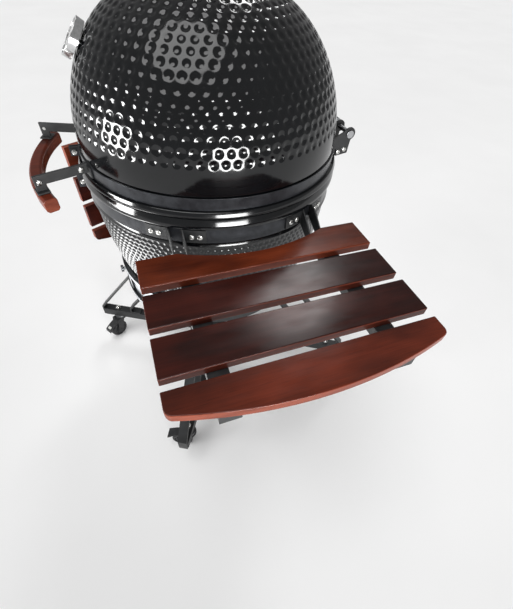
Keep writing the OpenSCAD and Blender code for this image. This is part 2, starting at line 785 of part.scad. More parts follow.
// ---- Handle ----

module at_handle_arm(side) {
    at_azimuth(front + side * handle_half_angle) translate([0, 0, seam_z + handle_z]) children();
}

// Each arm: a pad on the band, a bar standing on edge, a drop and a foot on the grip
module handle_arms() {
    grip_top = grip_z + grip_h + seat_gap;
    bar_end = grip_r + grip_w / 2 + 8;
    color("#1b1c1d") {
        for (side = [-1, 1]) {
            at_handle_arm(side) difference() {
                union() {
                    translate([lid_band_r + seat_gap + 1, -handle_bar_t / 2, 0])
                        cube([bar_end - lid_band_r - seat_gap - 1, handle_bar_t, handle_bar_h]);
                    translate([bar_end - 16, -handle_bar_t / 2, grip_top - handle_z])
                        cube([16, handle_bar_t, handle_z - grip_top + 1]);
                    translate([grip_r + 1, -12, grip_top - handle_z]) cube([grip_w - 2, 24, 3]);
                }
                for (place = handle_bolts)
                    translate([place[0], 0, place[1]]) rotate([90, 0, 0])
                        cylinder(r = screw_r + run_gap, h = 30, center = true, $fn = 32);
            }
            sector(front + side * handle_half_angle, 3.4)
                translate([lid_band_r + seat_gap, seam_z + lid_band_z + 1])
                square([3, lid_band_h - 2]);
        }
    }
}

module handle_grip() {
    c = grip_chamfer;
    color("#6b2c1b") sector(front, grip_half_angle)
        translate([grip_r, seam_z + grip_z]) polygon([[c, 0], [grip_w - c, 0], [grip_w, c],
            [grip_w, grip_h - c], [grip_w - c, grip_h], [c, grip_h], [0, grip_h - c], [0, c]]);
}

// ---- Hinge ----

// A plate standing in the plane of Y and Z, given by its outline relative to the seam
module upright(x, outline) {
    translate([x - plate_t / 2, 0, seam_z]) rotate([90, 0, 90]) linear_extrude(plate_t) polygon(outline);
}

// The strip of a hinge bracket that is bolted to a band
module hinge_wing(band_r, z0, z1, half_angle) {
    difference() {
        sector(90, half_angle) translate([band_r + seat_gap, seam_z + z0 + 1])
            square([bracket_t, z1 - z0 - 2]);
        round_band(band_r, (z0 + z1) / 2, hinge_screw_angles)
            rotate([0, 90, 0]) cylinder(r = screw_r + run_gap, h = 24, center = true, $fn = 32);
    }
}

module at_hinge() {
    translate([0, hinge_y, seam_z + hinge_z]) rotate([0, 90, 0]) children();
}

module at_hinge_bolts(side) {
    for (place = hinge_bolts)
        translate([side * hinge_half_w, place[0], seam_z + place[1]]) rotate([0, 90, 0]) children();
}

module upper_hinge_bracket() {
    z0 = lid_band_z;
    z1 = lid_band_z + lid_band_h;
    color("#1b1c1d") difference() {
        union() {
            hinge_wing(lid_band_r, z0, z1, asin((hinge_half_w - 1) / (lid_band_r + seat_gap)));
            for (side = [-1, 1]) {
                upright(side * (hinge_half_w - plate_t / 2), [[hinge_y - 25, -1], [hinge_y + 3, 3.5],
                    [hinge_y + 5, hinge_z - hinge_eye_r], [hinge_y + hinge_eye_r, hinge_z],
                    [hinge_y, hinge_z + hinge_eye_r], [lid_band_r - 22, z1 - 1],
                    [lid_band_r - 22, z0 + 1], [hinge_y - 26, z0 + 1]]);
                at_hinge() translate([0, 0, side * (hinge_half_w - plate_t / 2)])
                    cylinder(r = hinge_eye_r, h = plate_t, center = true, $fn = 48);
            }
        }
        cylinder(r = lid_band_r + seat_gap, h = 2 * seam_z, $fn = 180);
        at_hinge() cylinder(r = hinge_pin_r + run_gap, h = 3 * hinge_half_w, center = true, $fn = 48);
        for (side = [-1, 1])
            at_hinge_bolts(side)
                cylinder(r = hinge_bolt_r + run_gap, h = 4 * plate_t, center = true, $fn = 32);
    }
}

module lower_hinge_bracket() {
    z0 = base_band_z;
    z1 = base_band_z + base_band_h;
    color("#1b1c1d") difference() {
        union() {
            hinge_wing(base_band_r, z0, z1, 19);
            translate([-ear_x - plate_t / 2, channel_back - plate_t, seam_z + z0 + 2])
                cube([2 * ear_x + plate_t, plate_t, hinge_z - 22 - z0]);
            for (side = [-1, 1]) {
                upright(side * ear_x, [[base_band_r - 14, z0 + 2], [channel_back, z0 + 2],
                    [channel_back, hinge_z - hinge_eye_r], [hinge_y + hinge_eye_r - 1, hinge_z],
                    [hinge_y, hinge_z + hinge_eye_r - 1], [hinge_y - hinge_eye_r + 1, hinge_z],
                    [rim_clear_y, hinge_z - 10], [rim_clear_y, z1 - 1], [base_band_r - 14, z1 - 1]]);
                at_hinge() translate([0, 0, side * ear_x])
                    cylinder(r = hinge_eye_r - 1, h = plate_t, center = true, $fn = 48);
            }
        }
        cylinder(r = base_band_r + seat_gap, h = seam_z + z1, $fn = 180);
        at_hinge() cylinder(r = hinge_pin_r + run_gap, h = 4 * ear_x, center = true, $fn = 48);
    }
}

module hinge_pin() {
    color("#a8a9aa") at_hinge() {
        cylinder(r = hinge_pin_r, h = 2 * hinge_half_w + 2, center = true, $fn = 48);
        for (end = [-1, 1])
            translate([0, 0, end * (hinge_half_w + 1.8)]) cylinder(r = 8, h = 3, center = true, $fn = 48);
    }
}

// Each torsion spring's envelope: a close-wound sleeve round the pin and its foot on the bracket's back
module hinge_springs() {
    sleeve_l = ear_x - plate_t / 2 - 2 - spring_end_x;
    foot_y = channel_back - plate_t - seat_gap - spring_wire_r;
    color("#8d8f91")
        for (side = [-1, 1]) {
            at_hinge() translate([0, 0, side * (spring_end_x + sleeve_l / 2)]) difference() {
                cylinder(r = spring_r, h = sleeve_l, center = true, $fn = 48);
                cylinder(r = spring_r - 2 * spring_wire_r, h = 2 * sleeve_l, center = true, $fn = 48);
            }
            translate([side * (spring_end_x + 2 * spring_wire_r), foot_y, seam_z + 4])
                cylinder(r = spring_wire_r, h = hinge_z - 13, $fn = 32);
        }
}

// ---- Thermometer ----

// Places what follows on the front of the dome, with +Z standing out of its surface
module at_dial() {
    translate([0, -dial_at[0], dial_at[1]]) rotate([dial_tilt_x(), 0, 0]) children();
}
function dial_tilt_x() = 90 - dial_tilt;

module thermometer_case() {
    color("#b4b5b6") translate([0, 0, seam_z]) at_dial() difference() {
        union() {
            translate([0, 0, 2]) cylinder(r = dial_r, h = 13, $fn = 96);
            translate([0, 0, -wall - 12]) cylinder(r = 5.2, h = wall + 15, $fn = 32);
            translate([0, 0, -wall - 60]) cylinder(r = 3, h = wall + 60, $fn = 32);
        }
        translate([0, 0, 5]) cylinder(r = dial_r - 3, h = 20, $fn = 96);
    }
    color("#b4b5b6") translate([0, 0, seam_z]) at_dial()
        translate([0, 0, 4.5]) cylinder(r = 1.2, h = 4.5, $fn = 24);
}

module thermometer_needle() {
    color("#b02020") translate([0, 0, seam_z]) at_dial() translate([0, 0, 7]) difference() {
        union() {
            cylinder(r = 3.2, h = 1, $fn = 32);
            rotate([0, 0, needle_rest]) translate([-0.8, -6, 0]) cube([1.6, 28, 1]);
        }
        translate([0, 0, -overlap]) cylinder(r = 1.2 + run_gap, h = 1 + 2 * overlap, $fn = 24);
    }
}

module thermometer_glass() {
    color("#dfe6ea", 0.4) translate([0, 0, seam_z]) at_dial()
        translate([0, 0, 12]) cylinder(r = dial_r - 3 - run_gap, h = 2, $fn = 96);
}

// ---- Top vent ----

module vent_base() {
    color("#232425") difference() {
        union() {
            tube_ring(vent_r - spigot_t, collar_r - 2, vent_z, vent_z + 6);
            tube_ring(vent_r - spigot_t, vent_r - seat_gap, vent_z - wall, vent_z + 1);
            tube_ring(vent_r, vent_r + vent_wall, vent_z + 5, vent_top_z);
            difference() {
                hull() {
                    translate([0, vent_pivot_y, vent_top_z - 14]) cylinder(r = 9, h = 14, $fn = 32);
                    translate([0, vent_r + 2, vent_top_z - 14]) cylinder(r = 9, h = 14, $fn = 32);
                }
                cylinder(r = vent_r + 1, h = 2 * seam_z, $fn = 96);
            }
        }
        translate([0, vent_pivot_y, vent_top_z - 16])
            cylinder(r = 4 + run_gap, h = 20, $fn = 32);
    }
}

vent_holes = 5;
hole_circle = vent_r * 0.56;
hole_r = vent_r * 0.25;

// The swinging cover that closes the chimney, with a ring of round holes
module vent_lid() {
    color("#232425") translate([0, 0, vent_top_z + seat_gap]) difference() {
        union() {
            cylinder(r = vent_r + vent_wall + 3, h = vent_plate_t, $fn = 96);
            translate([0, vent_pivot_y, 0]) cylinder(r = 10, h = vent_plate_t, $fn = 48);
            translate([-10, 0, 0]) cube([20, vent_pivot_y, vent_plate_t]);
            translate([-8, -vent_r - vent_wall - 22, 0]) cube([16, 30, vent_plate_t]);
        }
        translate([0, vent_pivot_y, -overlap]) cylinder(r = 4 + run_gap, h = 20, $fn = 32);
        for (i = [0 : vent_holes - 1])
            rotate(i * 360 / vent_holes + 36) translate([hole_circle, 0, -overlap])
                cylinder(r = hole_r, h = 20, $fn = 48);
        translate([0, 0, -overlap]) cylinder(r = 3 + run_gap, h = 20, $fn = 32);
    }
}

module vent_pivot_screw() {
    color("#a8a9aa") translate([0, vent_pivot_y, 0]) {
        translate([0, 0, vent_top_z - 16])
            cylinder(r = 4, h = 16 + seat_gap + vent_plate_t + seat_gap, $fn = 32);
        translate([0, 0, vent_top_z + 2 * seat_gap + vent_plate_t]) cylinder(r = 8, h = 4, $fn = 6);
    }
}

module daisy_wheel() {
    color("#2b2c2d") translate([0, 0, vent_top_z + 2 * seat_gap + vent_plate_t]) difference() {
        union() {
            cylinder(r = vent_r - 4, h = 4, $fn = 96);
            translate([-6, -vent_r - 8, 0]) cube([12, 16, 4]);
            translate([-6, -vent_r - 8, 0]) cube([12, 4, 14]);
        }
        for (i = [0 : vent_holes - 1])
            rotate(i * 360 / vent_holes + 36) translate([hole_circle, 0, -overlap])
                cylinder(r = hole_r, h = 20, $fn = 48);
        translate([0, 0, -overlap]) cylinder(r = 3 + run_gap, h = 20, $fn = 32);
    }
}

module daisy_screw() {
    color("#c9c9c6") {
        translate([0, 0, vent_top_z + seat_gap]) cylinder(r = 3, h = vent_plate_t + 5, $fn = 32);
        translate([0, 0, vent_top_z + 3 * seat_gap + vent_plate_t + 4]) cylinder(r = 6.5, h = 4, $fn = 6);
    }
}

cart_crossbars();
cart_outer_straps();
cart_inner_straps();
bowl_rings();
caster_stems();
caster_nuts();
at_caster(front_left_at, front_left_trail) fork(true);  // front_left_fork
at_caster(front_right_at, front_right_trail) fork(true);  // front_right_fork
at_caster(rear_left_at, rear_left_trail) fork(false);  // rear_left_fork
at_caster(rear_right_at, rear_right_trail) fork(false);  // rear_right_fork
at_caster(front_left_at, front_left_trail) wheel();  // front_left_wheel
at_caster(front_right_at, front_right_trail) wheel();  // front_right_wheel
at_caster(rear_left_at, rear_left_trail) wheel();  // rear_left_wheel
at_caster(rear_right_at, rear_right_trail) wheel();  // rear_right_wheel
at_caster(front_left_at, front_left_trail) brake();  // front_left_brake
at_caster(front_right_at, front_right_trail) brake();  // front_right_brake
bowl();
firebox();
fire_ring();
charcoal_grate();
cooking_grate();
lower_gasket();
lower_band();
base_band_screws();
draft_frame();
draft_screen();
draft_door();
shelf_brackets();
shelf_pivot_pins();
place_shelf(0, 0) shelf_arms();  // right_shelf_arms
place_shelf(0, 0) slat(0);  // right_slat_1
place_shelf(0, 0) slat(1);  // right_slat_2
place_shelf(0, 0) slat(2);  // right_slat_3
place_shelf(0, 0) slat(3);  // right_slat_4
place_shelf(0, 0) slat_screws();  // right_slat_screws
place_shelf(left_azimuth, 90) shelf_arms();  // left_shelf_arms
place_shelf(left_azimuth, 90) slat(0);  // left_slat_1
place_shelf(left_azimuth, 90) slat(1);  // left_slat_2
place_shelf(left_azimuth, 90) slat(2);  // left_slat_3
place_shelf(left_azimuth, 90) slat(3);  // left_slat_4
place_shelf(left_azimuth, 90) slat_screws();  // left_slat_screws
dome();
upper_gasket();
upper_band();
lid_band_screws();
handle_arms();
handle_grip();
thermometer_case();
thermometer_glass();
thermometer_needle();
vent_base();
vent_lid();
vent_pivot_screw();
daisy_wheel();
daisy_screw();
upper_hinge_bracket();
lower_hinge_bracket();
hinge_pin();
hinge_springs();
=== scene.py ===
"""Kamado ceramic grill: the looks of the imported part.

Lengths in the tables below are millimetres in the part's own frame: +X along the raised
shelf, -Y towards the lid handle, +Z up from the floor. Meshes are made in metres.
"""
import json
import math

import bmesh
import bpy
import numpy as np
from mathutils import Matrix, Vector


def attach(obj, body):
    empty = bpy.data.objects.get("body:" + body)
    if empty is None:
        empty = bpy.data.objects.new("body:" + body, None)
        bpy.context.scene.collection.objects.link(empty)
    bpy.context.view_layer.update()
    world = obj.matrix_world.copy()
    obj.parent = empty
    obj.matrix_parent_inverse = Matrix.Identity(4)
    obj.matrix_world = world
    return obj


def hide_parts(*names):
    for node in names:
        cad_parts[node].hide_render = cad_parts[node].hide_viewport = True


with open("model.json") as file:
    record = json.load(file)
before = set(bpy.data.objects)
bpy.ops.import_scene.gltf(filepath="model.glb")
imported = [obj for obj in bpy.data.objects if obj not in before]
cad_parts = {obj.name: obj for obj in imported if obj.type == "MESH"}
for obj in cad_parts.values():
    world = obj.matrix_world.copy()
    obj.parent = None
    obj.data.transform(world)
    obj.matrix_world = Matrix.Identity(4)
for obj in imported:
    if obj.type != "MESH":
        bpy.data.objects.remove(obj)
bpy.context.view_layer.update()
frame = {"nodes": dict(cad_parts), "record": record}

NODES = frame["nodes"]
RECORD = frame["record"]
BODY_OF = {n: b for b, names in RECORD["behaviour"]["bodies"].items() for n in names}

MM = 0.001
SEAM = 740.0  # height of the plane where the lid meets the bowl
SEAT_GAP = 0.3  # play between seated parts
RIM_R = 270.0  # outer radius of both ceramic rims
LID_R = 258.8  # outer radius of the dome above its rim
BASE_R = 262.0  # outer radius of the bowl under its rim
WALL = 24.0
BAND_T = 2.5
BRACKET_T = 2.5
# Heights from the seam: lower edge and width of each band
LID_BAND_Z, LID_BAND_H = 13.0, 22.0
BASE_BAND_Z, BASE_BAND_H = -51.8, 29.4
DOME_Z, DOME_H = 38.0, 276.0  # where the dome's curve starts and ends, from the seam
COLLAR_R, VENT_R = 80.0, 50.0
RIDGE_Z, BOWL_DEPTH, FOOT_R = -62.8, 402.0, 120.0
# The draft passage's middle, height and half width
DRAFT_Z, DRAFT_H, DRAFT_HALF = 450.0, 54.0, 50.9
# The pad round it: how far its hole clears the passage, its lower and upper ends, how far it stands out
BOSS_MARGIN = 2.4
BOSS_LOW, BOSS_TOP, BOSS_OUT = 411.5, 489.0, 3.7
HINGE_Y, HINGE_UP, HINGE_HALF = 281.0, 44.0, 96.0  # the pin's line and the side plates' offset
HINGE_SCREW_AT = 15  # degrees from the rear to each pair of hinge screws
GRIP_R = 335.0
HANDLE_AT = 19  # degrees from the front to each handle arm
LEFT_AZIMUTH = 206.0
PIVOT = (297.0, 0.0, 678.0)  # the raised shelf's fold axis
SLAT_INNER, SLAT_W, SLAT_PITCH = 285.0, 65.5, 81.5
SLAT_SCREW_Z = 687.0
ARM_OFFSET = 127.0  # each shelf arm's distance from the shelf's middle


# ---------------------------------------------------------------- materials

def srgb(hexcode):
    """A hex colour as linear RGBA."""
    out = []
    for i in (1, 3, 5):
        v = int(hexcode[i:i + 2], 16) / 255
        out.append(v / 12.92 if v <= 0.04045 else ((v + 0.055) / 1.055) ** 2.4)
    return (*out, 1.0)


class Nodes:
    """A material's node tree, with the few nodes that every finish here uses."""

    def __init__(self, name):
        self.mat = bpy.data.materials.new(name)
        self.mat.use_nodes = True
        self.tree = self.mat.node_tree
        self.shader = self.tree.nodes["Principled BSDF"]
        coordinates = self.tree.nodes.new("ShaderNodeTexCoord")
        self.coord = coordinates.outputs["Object"]
        self.facing = coordinates.outputs["Normal"]

    def link(self, a, b):
        self.tree.links.new(a, b)

    def noise(self, scale, stretch=(1, 1, 1), detail=4.0, rough=0.55, distort=0.0):
        mapping = self.tree.nodes.new("ShaderNodeMapping")
        mapping.inputs["Scale"].default_value = stretch
        self.link(self.coord, mapping.inputs["Vector"])
        n = self.tree.nodes.new("ShaderNodeTexNoise")
        n.inputs["Scale"].default_value = scale
        n.inputs["Detail"].default_value = detail
        n.inputs["Roughness"].default_value = rough
        n.inputs["Distortion"].default_value = distort
        self.link(mapping.outputs["Vector"], n.inputs["Vector"])
        return n.outputs["Fac"]

    def ramp(self, fac, stops):
        n = self.tree.nodes.new("ShaderNodeValToRGB")
        ramp = n.color_ramp
        while len(ramp.elements) < len(stops):
            ramp.elements.new(0.5)
        for element, (at, colour) in zip(ramp.elements, stops):
            element.position = at
            element.color = srgb(colour) if isinstance(colour, str) else (colour,) * 3 + (1.0,)
        self.link(fac, n.inputs["Fac"])
        return n.outputs["Color"]

    def mix(self, fac, a, b, blend="MIX"):
        n = self.tree.nodes.new("ShaderNodeMix")
        n.data_type = "RGBA"
        n.blend_type = blend
        if isinstance(fac, float):
            n.inputs["Factor"].default_value = fac
        else:
            self.link(fac, n.inputs["Factor"])
        self.link(a, n.inputs["A"])
        self.link(b, n.inputs["B"])
        return n.outputs["Result"]

    def remap(self, fac, lo, hi, from_lo=0.3, from_hi=0.7):
        n = self.tree.nodes.new("ShaderNodeMapRange")
        n.inputs["From Min"].default_value = from_lo
        n.inputs["From Max"].default_value = from_hi
        n.inputs["To Min"].default_value = lo
        n.inputs["To Max"].default_value = hi
        self.link(fac, n.inputs["Value"])
        return n.outputs["Result"]

    def bump(self, height, strength, distance, below=None):
        n = self.tree.nodes.new("ShaderNodeBump")
        n.inputs["Strength"].default_value = strength
        n.inputs["Distance"].default_value = distance
        self.link(height, n.inputs["Height"])
        if below is not None:
            self.link(below, n.inputs["Normal"])
        return n.outputs["Normal"]

    def finish(self, colour=None, rough=None, normal=None, **constants):
        if colour is not None:
            self.link(colour, self.shader.inputs["Base Color"])
        if rough is not None:
            self.link(rough, self.shader.inputs["Roughness"])
        if normal is not None:
            self.link(normal, self.shader.inputs["Normal"])
        for key, value in constants.items():
            self.shader.inputs[key.replace("_", " ")].default_value = value
        return self.mat


def ceramic(name):
    """Black glaze: deep, wet gloss, a faint orange peel and slightly duller patches."""
    n = Nodes(name)
    peel = n.bump(n.noise(55.0, detail=2.0), 0.10, 0.0009)
    fine = n.bump(n.noise(420.0, detail=3.0), 0.05, 0.0002, peel)
    colour = n.ramp(n.noise(9.0), [(0.3, "#050607"), (0.7, "#0b0c0e")])
    rough = n.remap(n.noise(30.0, detail=5.0), 0.07, 0.15)
    return n.finish(colour, rough, fine, IOR=1.5, Specular_IOR_Level=0.5)


def painted(name, dark, light, rough, grain=2200.0, grain_depth=0.00012, metal=0.0):
    """Powder coat or satin enamel: a fine granular skin with rubbed, slightly paler patches."""
    n = Nodes(name)
    skin = n.bump(n.noise(grain, detail=2.0), 0.35, grain_depth)
    worn = n.noise(38.0, detail=8.0, rough=0.7)
    colour = n.ramp(worn, [(0.35, dark), (0.72, light)])
    return n.finish(colour, n.remap(worn, rough - 0.05, rough + 0.08), skin, Metallic=metal)


def bright_metal(name, dark, light, rough, stretch=(1, 1, 1), scale=260.0, metal=1.0):
    """Plated or brushed metal: fine drawn lines, and tarnish in the hollows."""
    n = Nodes(name)
    lines = n.noise(scale, stretch, detail=6.0, rough=0.65)
    stain = n.noise(45.0, detail=5.0)
    colour = n.mix(0.5, n.ramp(lines, [(0.3, dark), (0.7, light)]),
                   n.ramp(stain, [(0.3, dark), (0.65, light)]))
    return n.finish(colour, n.remap(stain, rough - 0.06, rough + 0.1),
                    n.bump(lines, 0.2, 0.00008), Metallic=metal)


def wood(name, dark, mid, light, lit_side_tone, seed):
    """Stained boards under a satin coat. The grain runs along the board's own Y."""
    n = Nodes(name)
    shifted = n.tree.nodes.new("ShaderNodeMapping")
    shifted.inputs["Location"].default_value = (seed * 0.37, seed * 0.61, seed * 0.23)
    n.link(n.coord, shifted.inputs["Vector"])
    n.coord = shifted.outputs["Vector"]
    cloud = n.noise(11.0, (1.0, 0.42, 1.0), detail=3.0)
    band = n.noise(34.0, (1.0, 0.07, 1.0), detail=6.0, rough=0.6, distort=0.5)
    fibre = n.noise(420.0, (1.0, 0.018, 1.0), detail=6.0, rough=0.7)
    pore = n.noise(980.0, (1.0, 0.03, 1.0), detail=2.0)
    base = n.ramp(band, [(0.25, dark), (0.5, mid), (0.78, light)])
    tone = n.ramp(cloud, [(0.38, dark), (0.64, light)])
    # Painted light: where a face turns away from up, on the boards' sides, the colour goes over to a paler
    # tone, as if those sides were lit from below.
    upright = n.tree.nodes.new("ShaderNodeSeparateXYZ")
    n.link(n.facing, upright.inputs["Vector"])
    flat = n.tree.nodes.new("ShaderNodeMath")
    flat.operation = "ABSOLUTE"
    n.link(upright.outputs["Z"], flat.inputs[0])
    side = n.ramp(band, [(0.3, mid), (0.7, lit_side_tone)])
    streak = n.ramp(fibre, [(0.3, 0.55), (0.62, 1.0)])
    pores = n.ramp(pore, [(0.3, 0.35), (0.4, 1.0)])
    colour = n.mix(n.remap(flat.outputs["Value"], 0.0, 1.0, 0.35, 0.75), side, n.mix(0.6, base, tone))
    colour = n.mix(0.5, colour, streak, "MULTIPLY")
    colour = n.mix(0.45, colour, pores, "MULTIPLY")
    relief = n.bump(fibre, 0.22, 0.00012)
    relief = n.bump(pores, 0.25, 0.0001, relief)
    rough = n.remap(band, 0.42, 0.55)
    haze = n.noise(60.0, (1.0, 0.3, 1.0), detail=6.0)
    n.link(n.remap(haze, 0.13, 0.25), n.shader.inputs["Coat Roughness"])
    n.link(n.bump(fibre, 0.12, 0.0001), n.shader.inputs["Coat Normal"])
    return n.finish(colour, rough, relief, IOR=1.5, Specular_IOR_Level=0.04, Coat_Weight=0.42)


def cast(name, dark, light, rough=0.62):
    """Sand-cast iron: a pitted, lumpy skin."""
    n = Nodes(name)
    lumps = n.bump(n.noise(330.0, detail=6.0, rough=0.7), 0.5, 0.0004)
    colour = n.ramp(n.noise(60.0, detail=6.0), [(0.3, dark), (0.7, light)])
    return n.finish(colour, n.remap(n.noise(90.0), rough - 0.08, rough + 0.12), lumps, Metallic=0.35)


def firebrick(name):
    """Unglazed refractory: buff, speckled and chalky."""
    n = Nodes(name)
    body = n.ramp(n.noise(14.0, detail=6.0), [(0.3, "#9d8b6c"), (0.7, "#c6b595")])
    specks = n.ramp(n.noise(520.0, detail=2.0), [(0.36, 0.45), (0.44, 1.0)])
    colour = n.mix(0.6, body, specks, "MULTIPLY")
    return n.finish(colour, n.remap(n.noise(50.0), 0.82, 0.95),
                    n.bump(n.noise(380.0, detail=6.0), 0.45, 0.0005))


def felt(name):
    """Pressed felt: soft, matt, with lying fibres."""
    n = Nodes(name)
    fibres = n.noise(700.0, (1.0, 1.0, 0.4), detail=6.0, rough=0.8, distort=1.5)
    colour = n.ramp(fibres, [(0.3, "#1b1b1c"), (0.7, "#3a3a3b")])
    return n.finish(colour, n.remap(fibres, 0.9, 1.0), n.bump(fibres, 0.7, 0.0006),
                    Sheen_Weight=0.5, Sheen_Roughness=0.5)


def plastic(name, dark, light, rough=0.5):
    """Moulded nylon with a fine spark texture."""
    n = Nodes(name)
    spark = n.noise(1500.0, detail=2.0)
    colour = n.ramp(n.noise(70.0, detail=5.0), [(0.3, dark), (0.7, light)])
    return n.finish(colour, n.remap(n.noise(120.0), rough - 0.06, rough + 0.08),
                    n.bump(spark, 0.3, 0.00015))


def clear_glass(name):
    n = Nodes(name)
    smear = n.noise(60.0, detail=5.0)
    return n.finish(None, n.remap(smear, 0.02, 0.07), n.bump(n.noise(35.0), 0.02, 0.0001),
                    Base_Color=(0.97, 0.99, 1.0, 1.0), Transmission_Weight=1.0, IOR=1.45)


GLAZE = ceramic("black_glaze")
SATIN = painted("satin_black_steel", "#242528", "#3b3d41", 0.31, 2600.0, 0.00010, 0.6)
POWDER = painted("black_powder_coat", "#141516", "#232425", 0.42)
ZINC = bright_metal("zinc_plate", "#a9aaa9", "#e4e3df", 0.24)
STEEL = bright_metal("turned_steel", "#8b8c8e", "#c2c3c5", 0.30, (1, 1, 0.1))
STAINLESS = bright_metal("stainless_rod", "#9b9ca0", "#d0d1d3", 0.26, (0.2, 1, 1))
DOOR_STEEL = bright_metal("brushed_door", "#4b4d50", "#84878a", 0.34, (1, 1, 0.06))
SCREEN_STEEL = bright_metal("screen_steel", "#6f7275", "#a9abad", 0.36, (1, 1, 0.1))
SPRING_STEEL = bright_metal("spring_wire", "#77797c", "#b6b8ba", 0.28)
DIAL_STEEL = bright_metal("polished_bezel", "#b9babb", "#e8e8e8", 0.14)
IRON = cast("cast_iron", "#191a1b", "#323334")
BRICK = firebrick("firebrick")
FELT = felt("gasket_felt")
NYLON = plastic("wheel_nylon", "#17181a", "#2b2c2e")
PEDAL = plastic("pedal_plastic", "#141516", "#252628", 0.45)
GLASS = clear_glass("dial_glass")
NEEDLE = painted("red_enamel", "#8e1515", "#c22626", 0.35)
ENAMEL = painted("dial_enamel", "#dcdad2", "#efeee8", 0.40, 900.0, 0.00005)
INK = painted("dial_ink", "#101010", "#1f1f1f", 0.55, 1800.0, 0.00003)
PLATE = painted("neutral_plate", "#bdbdb9", "#d9d9d5", 0.45, 1400.0, 0.00006)

# Dark, middle and light grain, and the paler tone painted on the boards' sides as light from below, by slat
# from the bowl outwards
WOOD_TONES = {
    1: ("#270c05", "#55200f", "#7c361c", "#934730"),
    2: ("#140402", "#2c0b06", "#47180e", "#85402f"),
    3: ("#190503", "#340e07", "#4f1b10", "#85402f"),
    4: ("#2b0e06", "#521d0e", "#722d19", "#8c4732"),
}


# ---------------------------------------------------------------- mesh making

def link_mesh(name, verts, faces, sharp_deg=35.0):
    mesh = bpy.data.meshes.new(name)
    mesh.from_pydata(np.asarray(verts).tolist(), [], [list(f) for f in faces])
    mesh.validate()
    mesh.polygons.foreach_set("use_smooth", [True] * len(mesh.polygons))
    mesh.set_sharp_from_angle(angle=math.radians(sharp_deg))
    mesh.update()
    obj = bpy.data.objects.new(name, mesh)
    bpy.context.scene.collection.objects.link(obj)
    return obj


def stand_in(obj, material, *nodes):
    """Puts obj in the place of CAD nodes that share one body and one slot."""
    obj.data.materials.clear()
    obj.data.materials.append(material)
    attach(obj, BODY_OF[nodes[0]])
    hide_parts(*nodes)
    return obj


def weigh_normals(obj):
    mod = obj.modifiers.new("normals", "WEIGHTED_NORMAL")
    mod.keep_sharp = True
    mod.weight = 80


def eased(node, material, width=0.5, segments=2, angle=32.0, local=None):
    """A CAD node's shape with its edges rounded, as a new piece. local places the piece's own frame."""
    mesh = NODES[node].data.copy()
    obj = bpy.data.objects.new(node + "_shaped", mesh)
    bpy.context.scene.collection.objects.link(obj)
    bm = bmesh.new()
    bm.from_mesh(mesh)
    bmesh.ops.remove_doubles(bm, verts=bm.verts, dist=2e-6)
    bmesh.ops.dissolve_limit(bm, angle_limit=math.radians(0.8), verts=bm.verts, edges=bm.edges)
    hard = [e for e in bm.edges if len(e.link_faces) == 2
            and e.calc_face_angle(0.0) > math.radians(angle)]
    bmesh.ops.bevel(bm, geom=hard, offset=width * MM, offset_type="OFFSET", segments=segments,
                    profile=0.5, affect="EDGES", clamp_overlap=False)
    bmesh.ops.remove_doubles(bm, verts=bm.verts, dist=2e-6)
    if local is not None:
        bmesh.ops.transform(bm, matrix=local.inverted(), verts=bm.verts)
        obj.matrix_world = local
    for f in bm.faces:
        f.smooth = True
    bm.to_mesh(mesh)
    bm.free()
    mesh.set_sharp_from_angle(angle=math.radians(48.0))
    weigh_normals(obj)
    return stand_in(obj, material, node)


def grid_faces(rings, segments, wrap=False):
    """Quads between rings of equal length, closed round each ring and, with wrap, end to end."""
    top = rings if wrap else rings - 1
    i = np.arange(top)[:, None]
    j = np.arange(segments)[None, :]
    i2 = (i + 1) % rings
    j2 = (j + 1) % segments
    quads = np.stack([i * segments + j, i * segments + j2, i2 * segments + j2, i2 * segments + j], -1)
    return quads.reshape(-1, 4)


def arc(cx, cz, r, a0, a1, steps=5):
    """Points of a profile's rounded corner."""
    return [(cx + r * math.cos(math.radians(a0 + (a1 - a0) * k / steps)),
             cz + r * math.sin(math.radians(a0 + (a1 - a0) * k / steps))) for k in range(steps + 1)]


def bezier(points, count):
    t = np.linspace(0, 1, count)[:, None]
    a, b, c, d = (np.array(p, float) for p in points)
    return (1 - t) ** 3 * a + 3 * (1 - t) ** 2 * t * b + 3 * (1 - t) * t ** 2 * c + t ** 3 * d


def dome_points(r0, r1, z1, count):
    return bezier([(r0, DOME_Z), (r0 + 3, DOME_Z + 0.47 * (z1 - DOME_Z)),
                   (r1 + 0.61 * (r0 - r1), z1 - 0.05 * (z1 - DOME_Z)), (r1, z1)], count)


def bowl_points(r0, r1, z1, count):
    return bezier([(r0, RIDGE_Z), (r0 - 2, RIDGE_Z + 0.35 * (z1 - RIDGE_Z)),
                   (r1 + 0.68 * (r0 - r1), z1 - 0.07 * (z1 - RIDGE_Z)), (r1, z1)], count)


def even(points, step):
    """The same curve with points at equal distances of about step."""
    points = np.asarray(points)
    s = np.concatenate([[0], np.cumsum(np.hypot(*np.diff(points, axis=0).T))])
    at = np.linspace(0, s[-1], max(2, round(s[-1] / step) + 1))
    return np.stack([np.interp(at, s, points[:, k]) for k in (0, 1)], 1)


